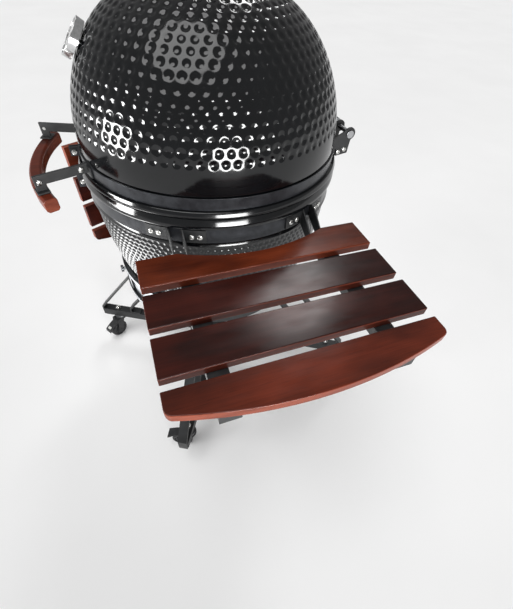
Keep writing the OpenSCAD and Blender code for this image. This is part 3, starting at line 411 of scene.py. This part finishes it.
def dimple_depths(curve, segments, pitch, first, last, radius, depth):
    """How deep each point of a turned surface is pressed in by staggered rows of round dimples."""
    s = np.concatenate([[0], np.cumsum(np.hypot(*np.diff(curve, axis=0).T))])
    azimuth = np.linspace(0, 2 * math.pi, segments, endpoint=False)
    deep = np.zeros((len(curve), segments))
    row_step = pitch * math.sqrt(3) / 2
    for row, at in enumerate(np.arange(first, min(last, s[-1] - radius), row_step)):
        ring_r = np.interp(at, s, curve[:, 0])
        around = max(6, round(2 * math.pi * ring_r / pitch))
        turn = 2 * math.pi / around
        shift = 0.5 * (row % 2) * turn
        off = (azimuth - shift + turn / 2) % turn - turn / 2
        near = np.abs(s - at) < radius
        away = np.hypot((s[near] - at)[:, None], off[None, :] * curve[near, 0][:, None]) / radius
        pressed = depth * np.clip(1 - away ** 2, 0, None) ** 1.15
        deep[near] = np.maximum(deep[near], pressed)
    return deep


def turned_shell(before, curve, after, segments, deep):
    """A closed body of revolution whose middle stretch carries the dimples."""
    profile = np.vstack([before, curve, after])
    azimuth = np.linspace(0, 2 * math.pi, segments, endpoint=False)
    r = np.repeat(profile[:, :1], segments, 1)
    z = np.repeat(profile[:, 1:], segments, 1)
    slope = np.gradient(curve, axis=0)
    slope /= np.linalg.norm(slope, axis=1)[:, None]
    out = np.stack([slope[:, 1], -slope[:, 0]], 1)
    if out[0, 0] < 0:
        out = -out
    lo, hi = len(before), len(before) + len(curve)
    r[lo:hi] -= deep * out[:, :1]
    z[lo:hi] -= deep * out[:, 1:]
    verts = np.stack([r * np.cos(azimuth), r * np.sin(azimuth), z + SEAM], -1).reshape(-1, 3) * MM
    return verts, grid_faces(len(profile), segments, wrap=True)


def make_dome():
    segments = 712
    rim = [(LID_R - WALL, 1.6)] + [(RIM_R - 3, 1.6)] + arc(RIM_R - 2.5, 4.1, 2.5, -80, 14, 6)
    rim += arc(RIM_R - 4.9, 10.3, 2.3, 21, 90, 6)
    rim += [(LID_R + 1.5, 12.7), (LID_R, 13.2), (LID_R, LID_BAND_Z + LID_BAND_H - 1)]
    rim += [(LID_R - 2.5, LID_BAND_Z + LID_BAND_H), (LID_R - 2.5, DOME_Z - 2)]
    rim += arc(LID_R - 2.5, DOME_Z, 2.4, -80, -10, 5)
    curve = even(dome_points(LID_R, COLLAR_R, DOME_H, 400), 2.1)
    deep = dimple_depths(curve, segments, 18.8, 50.5, 330.0, 6.9, 2.0)
    lip = [(VENT_R + 1, DOME_H), (VENT_R, DOME_H - 1)]
    inside = dome_points(LID_R - WALL, VENT_R, DOME_H - WALL, 28)[::-1]
    verts, faces = turned_shell(np.array(rim), curve, np.vstack([lip, inside]), segments, deep)
    obj = link_mesh("dome_shell", verts, faces, 50.0)
    return stand_in(obj, GLAZE, "dome")




def make_bowl():
    segments = 840
    rim = [(BASE_R - WALL - 2, -1.6), (RIM_R - 6.5, -1.6)] + arc(RIM_R - 6.2, -4.0, 2.2, 80, 21, 5)
    rim += arc(RIM_R - 3.0, -13.6, 3.0, 17, 0, 3) + arc(RIM_R - 5, -22.1 + 5, 5, 0, -90, 8)
    rim += [(BASE_R + 1.5, -22.1), (BASE_R, -22.6), (BASE_R, BASE_BAND_Z - 0.6)]
    rim += arc(BASE_R + 0.2, BASE_BAND_Z - 2.2, 1.5, 80, 22, 4)
    rim += arc(BASE_R + 1.9, BASE_BAND_Z - 8.3, 2.0, 18, -50, 6)
    curve = even(bowl_points(BASE_R, FOOT_R, -BOWL_DEPTH, 400), 1.75)
    deep = dimple_depths(curve, segments, 12.4, 7.0, 360.0, 5.0, 2.0)
    foot = [(FOOT_R - 4, -BOWL_DEPTH), (2.0, -BOWL_DEPTH), (2.0, -BOWL_DEPTH + WALL)]
    inside = bowl_points(BASE_R - WALL - 2, FOOT_R - WALL * 0.6, -BOWL_DEPTH + WALL, 40)[::-1]
    verts, faces = turned_shell(np.array(rim), curve, np.vstack([foot, inside]), segments, deep)
    mid = verts[faces].mean(1) / MM
    hole = (mid[:, 1] < 0) & (np.abs(mid[:, 0]) < DRAFT_HALF)
    hole &= np.abs(mid[:, 2] - DRAFT_Z) < DRAFT_H / 2 + BOSS_MARGIN
    obj = link_mesh("bowl_shell", verts, faces[~hole], 50.0)
    return stand_in(obj, GLAZE, "bowl")


def bowl_r(z):
    curve = bowl_points(BASE_R, FOOT_R, -BOWL_DEPTH, 200)
    return float(np.interp(-(z - SEAM), -curve[:, 1], curve[:, 0]))


def swept(profile, a0, a1, steps):
    """A closed piece: an outline of (radius, height) points swept about Z from a0 to a1 degrees."""
    azimuth = np.radians(np.linspace(a0, a1, steps + 1))
    n = len(profile)
    verts = np.array([(r * math.cos(a), r * math.sin(a), z) for a in azimuth for r, z in profile])
    faces = grid_faces(steps + 1, n).tolist()
    faces.append(list(range(n)))
    faces.append([steps * n + k for k in range(n)][::-1])
    return verts, faces, Matrix.Identity(4)


def make_boss():
    """The raised pad that carries the draft frame: four swept pieces round the passage."""
    out = bowl_r(BOSS_TOP - 2) + BOSS_OUT
    gap = math.degrees(math.asin(DRAFT_HALF / out))
    hole_low = DRAFT_Z - DRAFT_H / 2 - BOSS_MARGIN
    hole_top = DRAFT_Z + DRAFT_H / 2 + BOSS_MARGIN
    first, last = -108, -44

    def pad(z0, z1, a0, a1, steps, slope=0.0):
        return swept([(bowl_r(z0) - 5, z0), (out, z0), (out, z1), (bowl_r(z1 + slope) - 5, z1 + slope)],
                     a0, a1, steps)

    verts, faces = merged([pad(hole_top, BOSS_TOP, first, last, 64, 2.0),
                           pad(BOSS_LOW, hole_low, first, last, 64),
                           pad(hole_low, hole_top, first, -90 - gap, 6),
                           pad(hole_low, hole_top, -90 + gap, last, 32)])
    obj = link_mesh("draft_boss", verts * MM, faces, 40.0)
    obj.data.materials.append(GLAZE)
    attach(obj, BODY_OF["bowl"])


BOX_FACES = [[0, 3, 2, 1], [4, 5, 6, 7], [0, 1, 5, 4], [1, 2, 6, 5], [2, 3, 7, 6], [3, 0, 4, 7]]


def merged(parts):
    """One mesh from (verts, faces, matrix) parts."""
    verts, faces, base = [], [], 0
    for v, f, m in parts:
        m = np.array(m)
        verts.append(np.asarray(v) @ m[:3, :3].T + m[:3, 3])
        faces += [[i + base for i in face] for face in f]
        base += len(v)
    return np.vstack(verts), faces


def lathe_part(profile, segments=32):
    """A turned part about +Z, closed at both ends by its first and last points on the axis."""
    profile = np.array(profile, float)
    azimuth = np.linspace(0, 2 * math.pi, segments, endpoint=False)
    verts = np.stack([profile[:, :1] * np.cos(azimuth), profile[:, :1] * np.sin(azimuth),
                      np.repeat(profile[:, 1:], segments, 1)], -1).reshape(-1, 3)
    faces = grid_faces(len(profile), segments).tolist()
    faces.append(list(range(segments))[::-1])
    faces.append([(len(profile) - 1) * segments + k for k in range(segments)])
    return verts, faces


def cross_head(r, h, shank_r, shank_l):
    """A pan-head screw along +Z with a cross recess, its head's seat at z = 0."""
    dome = [(r * math.cos(math.radians(a)), h * 0.35 + h * 0.65 * math.sin(math.radians(a)))
            for a in (0, 15, 30, 45, 60, 72, 82)]
    profile = [(shank_r, -shank_l), (shank_r, 0.0), (r - 0.2, 0.0), (r, 0.3)] + dome
    verts, faces = lathe_part(profile, 40)
    head = link_mesh("screw_blank", verts, faces)
    cutters = []
    for turn in (0, 90):
        bm = bmesh.new()
        bmesh.ops.create_cube(bm, size=1.0)
        for v in bm.verts:
            narrow = 1.0 if v.co.z > 0 else 0.45
            v.co = Vector((v.co.x * r * 1.15 * narrow, v.co.y * r * 0.24,
                           h * 0.42 + (v.co.z + 0.5) * h))
        bmesh.ops.rotate(bm, verts=bm.verts, cent=(0, 0, 0),
                         matrix=Matrix.Rotation(math.radians(turn), 3, "Z"))
        mesh = bpy.data.meshes.new("cross_cutter")
        bm.to_mesh(mesh)
        bm.free()
        cutter = bpy.data.objects.new("cross_cutter", mesh)
        bpy.context.scene.collection.objects.link(cutter)
        mod = head.modifiers.new("cross", "BOOLEAN")
        mod.operation = "DIFFERENCE"
        mod.solver = "EXACT"
        mod.object = cutter
        cutters.append(cutter)
    cut = head.evaluated_get(bpy.context.evaluated_depsgraph_get()).to_mesh()
    out = (np.array([v.co[:] for v in cut.vertices]), [list(p.vertices) for p in cut.polygons])
    for o in cutters + [head]:
        bpy.data.objects.remove(o, do_unlink=True)
    return out


def hex_head(across, h):
    """A bolt head or nut along +Z with its corners turned off."""
    r = across / math.sqrt(3)
    rings = [(r - 0.8, 0.0), (r, 0.5), (r, h - 0.5), (r - 0.8, h)]
    return lathe_part(rings, 6)


def toward(point, direction, roll=0.0):
    """A matrix in mm that puts +Z along direction at point, turned by roll degrees."""
    z = Vector(direction).normalized()
    q = z.to_track_quat("Z", "Y").to_matrix().to_4x4()
    return Matrix.Translation(point) @ q @ Matrix.Rotation(math.radians(roll), 4, "Z")


def polar(r, degrees, z):
    a = math.radians(degrees)
    return Vector((r * math.cos(a), r * math.sin(a), z))


def make_screws():
    big = cross_head(5.0, 3.0, 3.0, 5.0)
    small = cross_head(4.0, 2.2, 2.0, 11.0)
    plate = cross_head(5.0, 3.0, 3.0, 4.0)
    scale = Matrix.Scale(MM, 4)
    spread, pair = 8.0, 1.6
    band_r = BASE_R + SEAT_GAP + BAND_T
    half = math.degrees(math.asin(ARM_OFFSET / band_r))
    shelf = [side * half + wing * spread + p
             for side in (-1, 1) for wing in (-1, 1) for p in (-pair, pair)]
    hinge = [90 + side * HINGE_SCREW_AT + p for side in (-1, 1) for p in (-pair, pair)]

    def on_band(radius, z, angles):
        return [(*big, scale @ toward(polar(radius, a, z), polar(1, a, 0), 29.0 * k))
                for k, a in enumerate(angles)]

    def clamp(radius, z):
        y = -(radius - 2.5) - 12.0
        bolt = lathe_part([(2.6, 0), (3, 0.6), (3, 25.4), (2.6, 26)], 32)
        return [(*bolt, scale @ toward((-13, y, z), (1, 0, 0))),
                (*hex_head(9.5, 4), scale @ toward((5, y, z), (1, 0, 0))),
                (*hex_head(9.5, 4), scale @ toward((-9, y, z), (1, 0, 0)))]

    z = SEAM + BASE_BAND_Z + BASE_BAND_H / 2
    angles = shelf + [LEFT_AZIMUTH + a for a in shelf] + hinge
    seat = band_r + SEAT_GAP + BRACKET_T
    stand_in(link_mesh("base_band_screw_set", *merged(on_band(seat, z, angles) + clamp(band_r, z))),
             ZINC, "base_band_screws")

    z = SEAM + LID_BAND_Z + LID_BAND_H / 2
    lid_r = LID_R + SEAT_GAP + BAND_T
    parts = on_band(lid_r + SEAT_GAP + BRACKET_T, z, hinge) + clamp(lid_r, z)
    handle_z = SEAM + LID_BAND_Z + LID_BAND_H / 2 - 17 / 2 + 5
    for side in (-1, 1):
        turn = Matrix.Rotation(math.radians(-90 + side * HANDLE_AT), 4, "Z")
        for r, up in ((lid_r + 14, 8.5), (GRIP_R + 11.5, 5.5)):
            place = toward((r, side * 2.5, handle_z + up), (0, side, 0), 20.0 * up)
            parts.append((*big, scale @ turn @ place))
    for side in (-1, 1):
        for y, up in ((HINGE_Y - 20.5, 8.0), (HINGE_Y - 6.5, 12.5)):
            at = (side * HINGE_HALF, y, SEAM + up)
            parts.append((*plate, scale @ toward(at, (side, 0, 0), 25.0 * up)))
    stand_in(link_mesh("lid_band_screw_set", *merged(parts)), ZINC, "lid_band_screws")

    for name, place in SHELF_FRAMES.items():
        parts = []
        for i in range(4):
            for side in (-1, 1):
                at = (SLAT_INNER + i * SLAT_PITCH + SLAT_W * 0.55, side * ARM_OFFSET, SLAT_SCREW_Z)
                parts.append((*small, scale @ place @ toward(at, (0, 0, -1), 31.0 * i)))
        stand_in(link_mesh(name + "_slat_screw_set", *merged(parts)), ZINC, name + "_slat_screws")


def shelf_frame(azimuth, fold):
    return (Matrix.Rotation(math.radians(azimuth), 4, "Z") @ Matrix.Translation(PIVOT)
            @ Matrix.Rotation(math.radians(fold), 4, "Y") @ Matrix.Translation(-Vector(PIVOT)))


SHELF_FRAMES = {"right": shelf_frame(0, 0), "left": shelf_frame(LEFT_AZIMUTH, 90)}


def make_wood():
    for name, place in SHELF_FRAMES.items():
        for i in range(1, 5):
            metres = place.copy()
            metres.translation = place.translation * MM
            tone = wood(f"{name}_slat_{i}_stain", *WOOD_TONES[i], i + (7 if name == "left" else 0))
            eased(f"{name}_slat_{i}", tone, 1.6, 4, 40.0, metres)


def make_springs():
    """Two torsion springs wound round the hinge pin, each with a leg down on the bracket's back."""
    wire, coil_r, first, last = 1.45, 9.5, 9.5, 44.5
    turns = 11
    parts = []
    for side in (-1, 1):
        path = [Vector((side * 11, -3.8, z)) for z in (-40, -30, -20, -13)]
        path.append(Vector((side * 10.4, -3.8, -10.4)))
        for k in range(turns * 20 + 1):
            a = 2 * math.pi * k / 20 - math.radians(113)
            path.append(Vector((side * (first + (last - first) * k / (turns * 20)),
                                coil_r * math.cos(a), coil_r * math.sin(a))))
        parts.append((*tube(path, wire), Matrix.Translation((0, HINGE_Y, SEAM + HINGE_UP))))
    verts, faces = merged(parts)
    stand_in(link_mesh("hinge_spring_coils", verts * MM, faces, 60.0), SPRING_STEEL, "hinge_springs")


def tube(path, radius, sides=8):
    """A round tube along a path, closed at both ends."""
    path = [Vector(p) for p in path]
    rings, up = [], Vector((1, 0, 0))
    for k, p in enumerate(path):
        along = (path[min(k + 1, len(path) - 1)] - path[max(k - 1, 0)]).normalized()
        up = (up - along * up.dot(along))
        up = up.normalized() if up.length > 1e-6 else along.orthogonal().normalized()
        across = along.cross(up)
        for j in range(sides):
            a = 2 * math.pi * j / sides
            rings.append(p + radius * (math.cos(a) * up + math.sin(a) * across))
    faces = grid_faces(len(path), sides).tolist()
    faces.append(list(range(sides))[::-1])
    faces.append([(len(path) - 1) * sides + j for j in range(sides)])
    return np.array([v[:] for v in rings]), faces


# Each caster's bar tip and the way that its wheel trails, in degrees
CASTERS = {"front_left": (-135, -55), "front_right": (-45, -115), "rear_left": (135, 110),
           "rear_right": (45, 75)}
CART_TURN, REACH, TRAIL, WHEEL_R, WHEEL_W = 16.0, 372.0, 25.0, 30.0, 22.0


def caster_frame(at, trail):
    return (Matrix.Rotation(math.radians(CART_TURN + at), 4, "Z") @ Matrix.Translation((REACH, 0, 0))
            @ Matrix.Rotation(math.radians(trail - at - CART_TURN), 4, "Z"))


def wheel_mesh():
    """A caster wheel about +Y: rounded tread with two shallow grooves, ribbed web and hub."""
    half = WHEEL_W / 2
    side = [(4.2, half), (11.2, half), (12, half - 0.8), (12.6, half - 3), (22.2, half - 3),
            (22.8, half - 1.4), (23.6, half - 1), (26.4, half - 1), (28.4, half - 2.1),
            (29.6, half - 4.0), (30.0, half - 6.0)]
    tread = [(30.0, 3.4), (29.4, 3.0), (29.4, 2.2), (30.0, 1.8)]
    profile = side + tread + [(r, -z) for r, z in tread[::-1]] + [(r, -z) for r, z in side[::-1]]
    profile = np.array(profile)
    azimuth = np.linspace(0, 2 * math.pi, 96, endpoint=False)
    verts = np.stack([profile[:, :1] * np.cos(azimuth), profile[:, :1] * np.sin(azimuth),
                      np.repeat(profile[:, 1:], 96, 1)], -1).reshape(-1, 3)
    parts = [(verts, grid_faces(len(profile), 96, wrap=True).tolist(), Matrix.Identity(4))]
    outline = ((12.3, -0.9), (22.6, -0.9), (22.6, 0.9), (12.3, 0.9))
    rib = np.array([(x, y, z) for z in (0, 1) for x, y in outline], float)
    for k in range(8):
        for top in (1, -1):
            r = rib.copy()
            r[:, 2] = np.where(rib[:, 2] > 0, half - 1.6, half - 3.4) * top
            f = BOX_FACES if top > 0 else [q[::-1] for q in BOX_FACES]
            parts.append((r, f, Matrix.Rotation(math.radians(45 * k), 4, "Z")))
    return merged([(v, f, Matrix.Rotation(math.radians(90), 4, "X") @ m) for v, f, m in parts])


def make_wheels():
    verts, faces = wheel_mesh()
    for name, (at, trail) in CASTERS.items():
        place = caster_frame(at, trail) @ Matrix.Translation((TRAIL, 0, WHEEL_R))
        metres = place.copy()
        metres.translation = place.translation * MM
        obj = link_mesh(name + "_tyre", verts * MM, faces, 32.0)
        obj.matrix_world = metres
        stand_in(obj, NYLON, name + "_wheel")


def make_pedal_plate():
    """The pale neutral plate on the far front caster's pedal."""
    place = caster_frame(*CASTERS["front_left"])
    slope = math.atan2(-8, 15)
    bm = bmesh.new()
    bmesh.ops.create_cube(bm, size=1.0)
    bmesh.ops.scale(bm, vec=(9.0, 13.0, 0.7), verts=bm.verts)
    bmesh.ops.bevel(bm, geom=[e for e in bm.edges], offset=0.2, segments=2, affect="EDGES", profile=0.5)
    mesh = bpy.data.meshes.new("pedal_plate")
    m = place @ Matrix.Translation((20 + 37.0, 0, 69 - 9.35)) @ Matrix.Rotation(-slope, 4, "Y")
    bmesh.ops.transform(bm, matrix=Matrix.Scale(MM, 4) @ m, verts=bm.verts)
    bm.to_mesh(mesh)
    bm.free()
    obj = bpy.data.objects.new("pedal_plate", mesh)
    bpy.context.scene.collection.objects.link(obj)
    mesh.materials.append(PLATE)
    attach(obj, BODY_OF["front_left_brake"])


DIAL_TILT = 37.527653619514396
DIAL_START, DIAL_SWEEP = 225, 270


def dial_frame():
    at = dome_points(LID_R, COLLAR_R, DOME_H, 21)[10]
    tilt = Matrix.Rotation(math.radians(90 - DIAL_TILT), 4, "X")
    return Matrix.Translation((0, -at[0], SEAM + at[1])) @ tilt


def make_dial():
    """The dial's enamel face, its ticks and its plain numbers."""
    place = Matrix.Scale(MM, 4) @ dial_frame()
    face = lathe_part([(27.6, 5.05), (27.6, 5.5), (27.2, 5.7), (1.6, 5.7)], 96)
    obj = link_mesh("dial_face", *merged([(*face, place)]))
    obj.data.materials.append(ENAMEL)
    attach(obj, "lid")
    parts = []
    for k in range(41):
        long = k % 10 == 0
        inner, wide = (21.5, 0.5) if long else ((23.0, 0.32) if k % 5 == 0 else (24.2, 0.2))
        outline = ((inner, -wide), (26.0, -wide), (26.0, wide), (inner, wide))
        bar = np.array([(x, y, z) for z in (5.7, 5.85) for x, y in outline])
        turn = Matrix.Rotation(math.radians(DIAL_START - DIAL_SWEEP * k / 40), 4, "Z")
        parts.append((bar, BOX_FACES, place @ turn))
    for k in range(5):
        text = bpy.data.curves.new("dial_number", "FONT")
        text.body = str(100 * k)
        text.size = 6.4
        text.extrude = 0.07
        text.align_x = "CENTER"
        text.align_y = "CENTER"
        holder = bpy.data.objects.new("dial_number", text)
        bpy.context.scene.collection.objects.link(holder)
        mesh = holder.evaluated_get(bpy.context.evaluated_depsgraph_get()).to_mesh()
        a = math.radians(DIAL_START - DIAL_SWEEP * k / 4)
        verts = np.array([v.co[:] for v in mesh.vertices])
        at = Matrix.Translation((16.2 * math.cos(a), 16.2 * math.sin(a), 5.78))
        parts.append((verts, [list(p.vertices) for p in mesh.polygons], place @ at))
        bpy.data.objects.remove(holder, do_unlink=True)
    marks = link_mesh("dial_marks", *merged(parts))
    marks.data.materials.append(INK)
    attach(marks, "lid")


# ---------------------------------------------------------------- the pieces, in their places

make_dome()
make_bowl()
make_boss()
make_wood()
make_screws()
make_springs()
make_wheels()
make_pedal_plate()
make_dial()

GRIP_WOOD = wood("grip_stain", *WOOD_TONES[4], 19)
eased("handle_grip", GRIP_WOOD, 1.4, 4, 30.0)

# Nodes whose CAD shape gets rounded edges, by finish
SHAPED = {
    SATIN: ("upper_band", "lower_band"),
    POWDER: ("cart_crossbars", "cart_outer_straps", "cart_inner_straps", "bowl_rings", "front_left_fork",
             "front_right_fork", "rear_left_fork", "rear_right_fork", "shelf_brackets", "right_shelf_arms",
             "left_shelf_arms", "handle_arms", "upper_hinge_bracket", "lower_hinge_bracket"),
    IRON: ("vent_base", "vent_lid", "daisy_wheel"),
    ZINC: ("caster_nuts", "daisy_screw", "shelf_pivot_pins"),
    STEEL: ("vent_pivot_screw", "hinge_pin"),
    DOOR_STEEL: ("draft_frame", "draft_door"),
    PEDAL: ("front_left_brake", "front_right_brake"),
    DIAL_STEEL: ("thermometer_case",),
}
# How far the edges are rounded where it isn't the usual half millimetre
EDGE = {"vent_base": 1.0, "vent_lid": 1.0, "daisy_wheel": 0.8, "front_left_brake": 0.9,
        "front_right_brake": 0.9, "cart_crossbars": 1.6, "upper_band": 0.45, "lower_band": 0.45}
for material, names in SHAPED.items():
    for name in names:
        eased(name, material, EDGE.get(name, 0.5))

# Nodes that keep their CAD shape and take a finish
KEPT = {"caster_stems": STEEL, "firebox": BRICK, "fire_ring": BRICK, "charcoal_grate": IRON,
        "cooking_grate": STAINLESS, "lower_gasket": FELT, "upper_gasket": FELT, "draft_screen": SCREEN_STEEL,
        "thermometer_glass": GLASS, "thermometer_needle": NEEDLE}
for name, material in KEPT.items():
    node = NODES[name]
    if not node.material_slots:
        node.data.materials.append(material)
    for slot in node.material_slots:
        slot.material = material


# ---------------------------------------------------------------- stage, light and camera

def make_floor():
    size = 30.0
    verts = [(-size, -size, 0), (size, -size, 0), (size, size, 0), (-size, size, 0)]
    obj = link_mesh("floor", verts, [[0, 1, 2, 3]])
    n = Nodes("pale_floor")
    colour = n.ramp(n.noise(1.5, detail=3.0), [(0.3, "#f5f5f5"), (0.7, "#f9f9f9")])
    obj.data.materials.append(n.finish(colour, n.remap(n.noise(4.0), 0.85, 0.95), None))


def softbox(name, at, aim, size, power, spread=180.0):
    light = bpy.data.lights.new(name, "AREA")
    light.shape = "RECTANGLE"
    light.size, light.size_y = size
    light.energy = power
    light.spread = math.radians(spread)
    obj = bpy.data.objects.new(name, light)
    obj.location = at
    obj.rotation_euler = (Vector(aim) - Vector(at)).to_track_quat("-Z", "Y").to_euler()
    obj.visible_camera = False
    bpy.context.scene.collection.objects.link(obj)


def far_lamp(name, azimuth, elevation, width, strength):
    """A large lamp so far off that it lights the whole floor evenly."""
    light = bpy.data.lights.new(name, "SUN")
    light.angle = math.radians(width)
    light.energy = strength
    obj = bpy.data.objects.new(name, light)
    a, e = math.radians(azimuth), math.radians(elevation)
    back = Vector((math.cos(a) * math.cos(e), math.sin(a) * math.cos(e), math.sin(e)))
    obj.rotation_euler = back.to_track_quat("Z", "Y").to_euler()
    obj.location = back * 4
    bpy.context.scene.collection.objects.link(obj)


make_floor()
far_lamp("key", 149.0, 46.0, 13.0, 0.45)
far_lamp("overhead", -60.0, 72.0, 45.0, 1.75)
softbox("box_right", (1.75, 0.0, 0.78), (0, 0, 0.74), (0.74, 0.42), 4.0, 60.0)
softbox("box_front", (0.05, -1.75, 0.78), (0, 0, 0.74), (0.74, 0.42), 4.0, 60.0)
softbox("box_low", (-0.05, -0.62, 0.03), (0, -0.2, 0.6), (0.7, 0.3), 1.6, 90.0)

world = bpy.data.worlds.new("studio")
world.use_nodes = True
world.node_tree.nodes["Background"].inputs["Color"].default_value = (1, 1, 1, 1)
world.node_tree.nodes["Background"].inputs["Strength"].default_value = 0.3
bpy.context.scene.world = world

camera_data = bpy.data.cameras.new("camera")
camera_data.lens = 20.6
camera_data.sensor_width = 36.0
camera_data.clip_start = 0.01
camera = bpy.data.objects.new("camera", camera_data)
right = Vector((0.3325, 0.9418, 0.0501))
up = Vector((-0.7157, 0.2173, 0.6638))
forward = Vector((-0.6143, 0.2566, -0.7462))
turn = Matrix((right, up, -forward)).transposed().to_4x4()
turn.translation = (0.7474, -0.1767, 1.0877)
camera.matrix_world = turn
bpy.context.scene.collection.objects.link(camera)
bpy.context.scene.camera = camera
bpy.context.scene.view_settings.view_transform = "Standard"
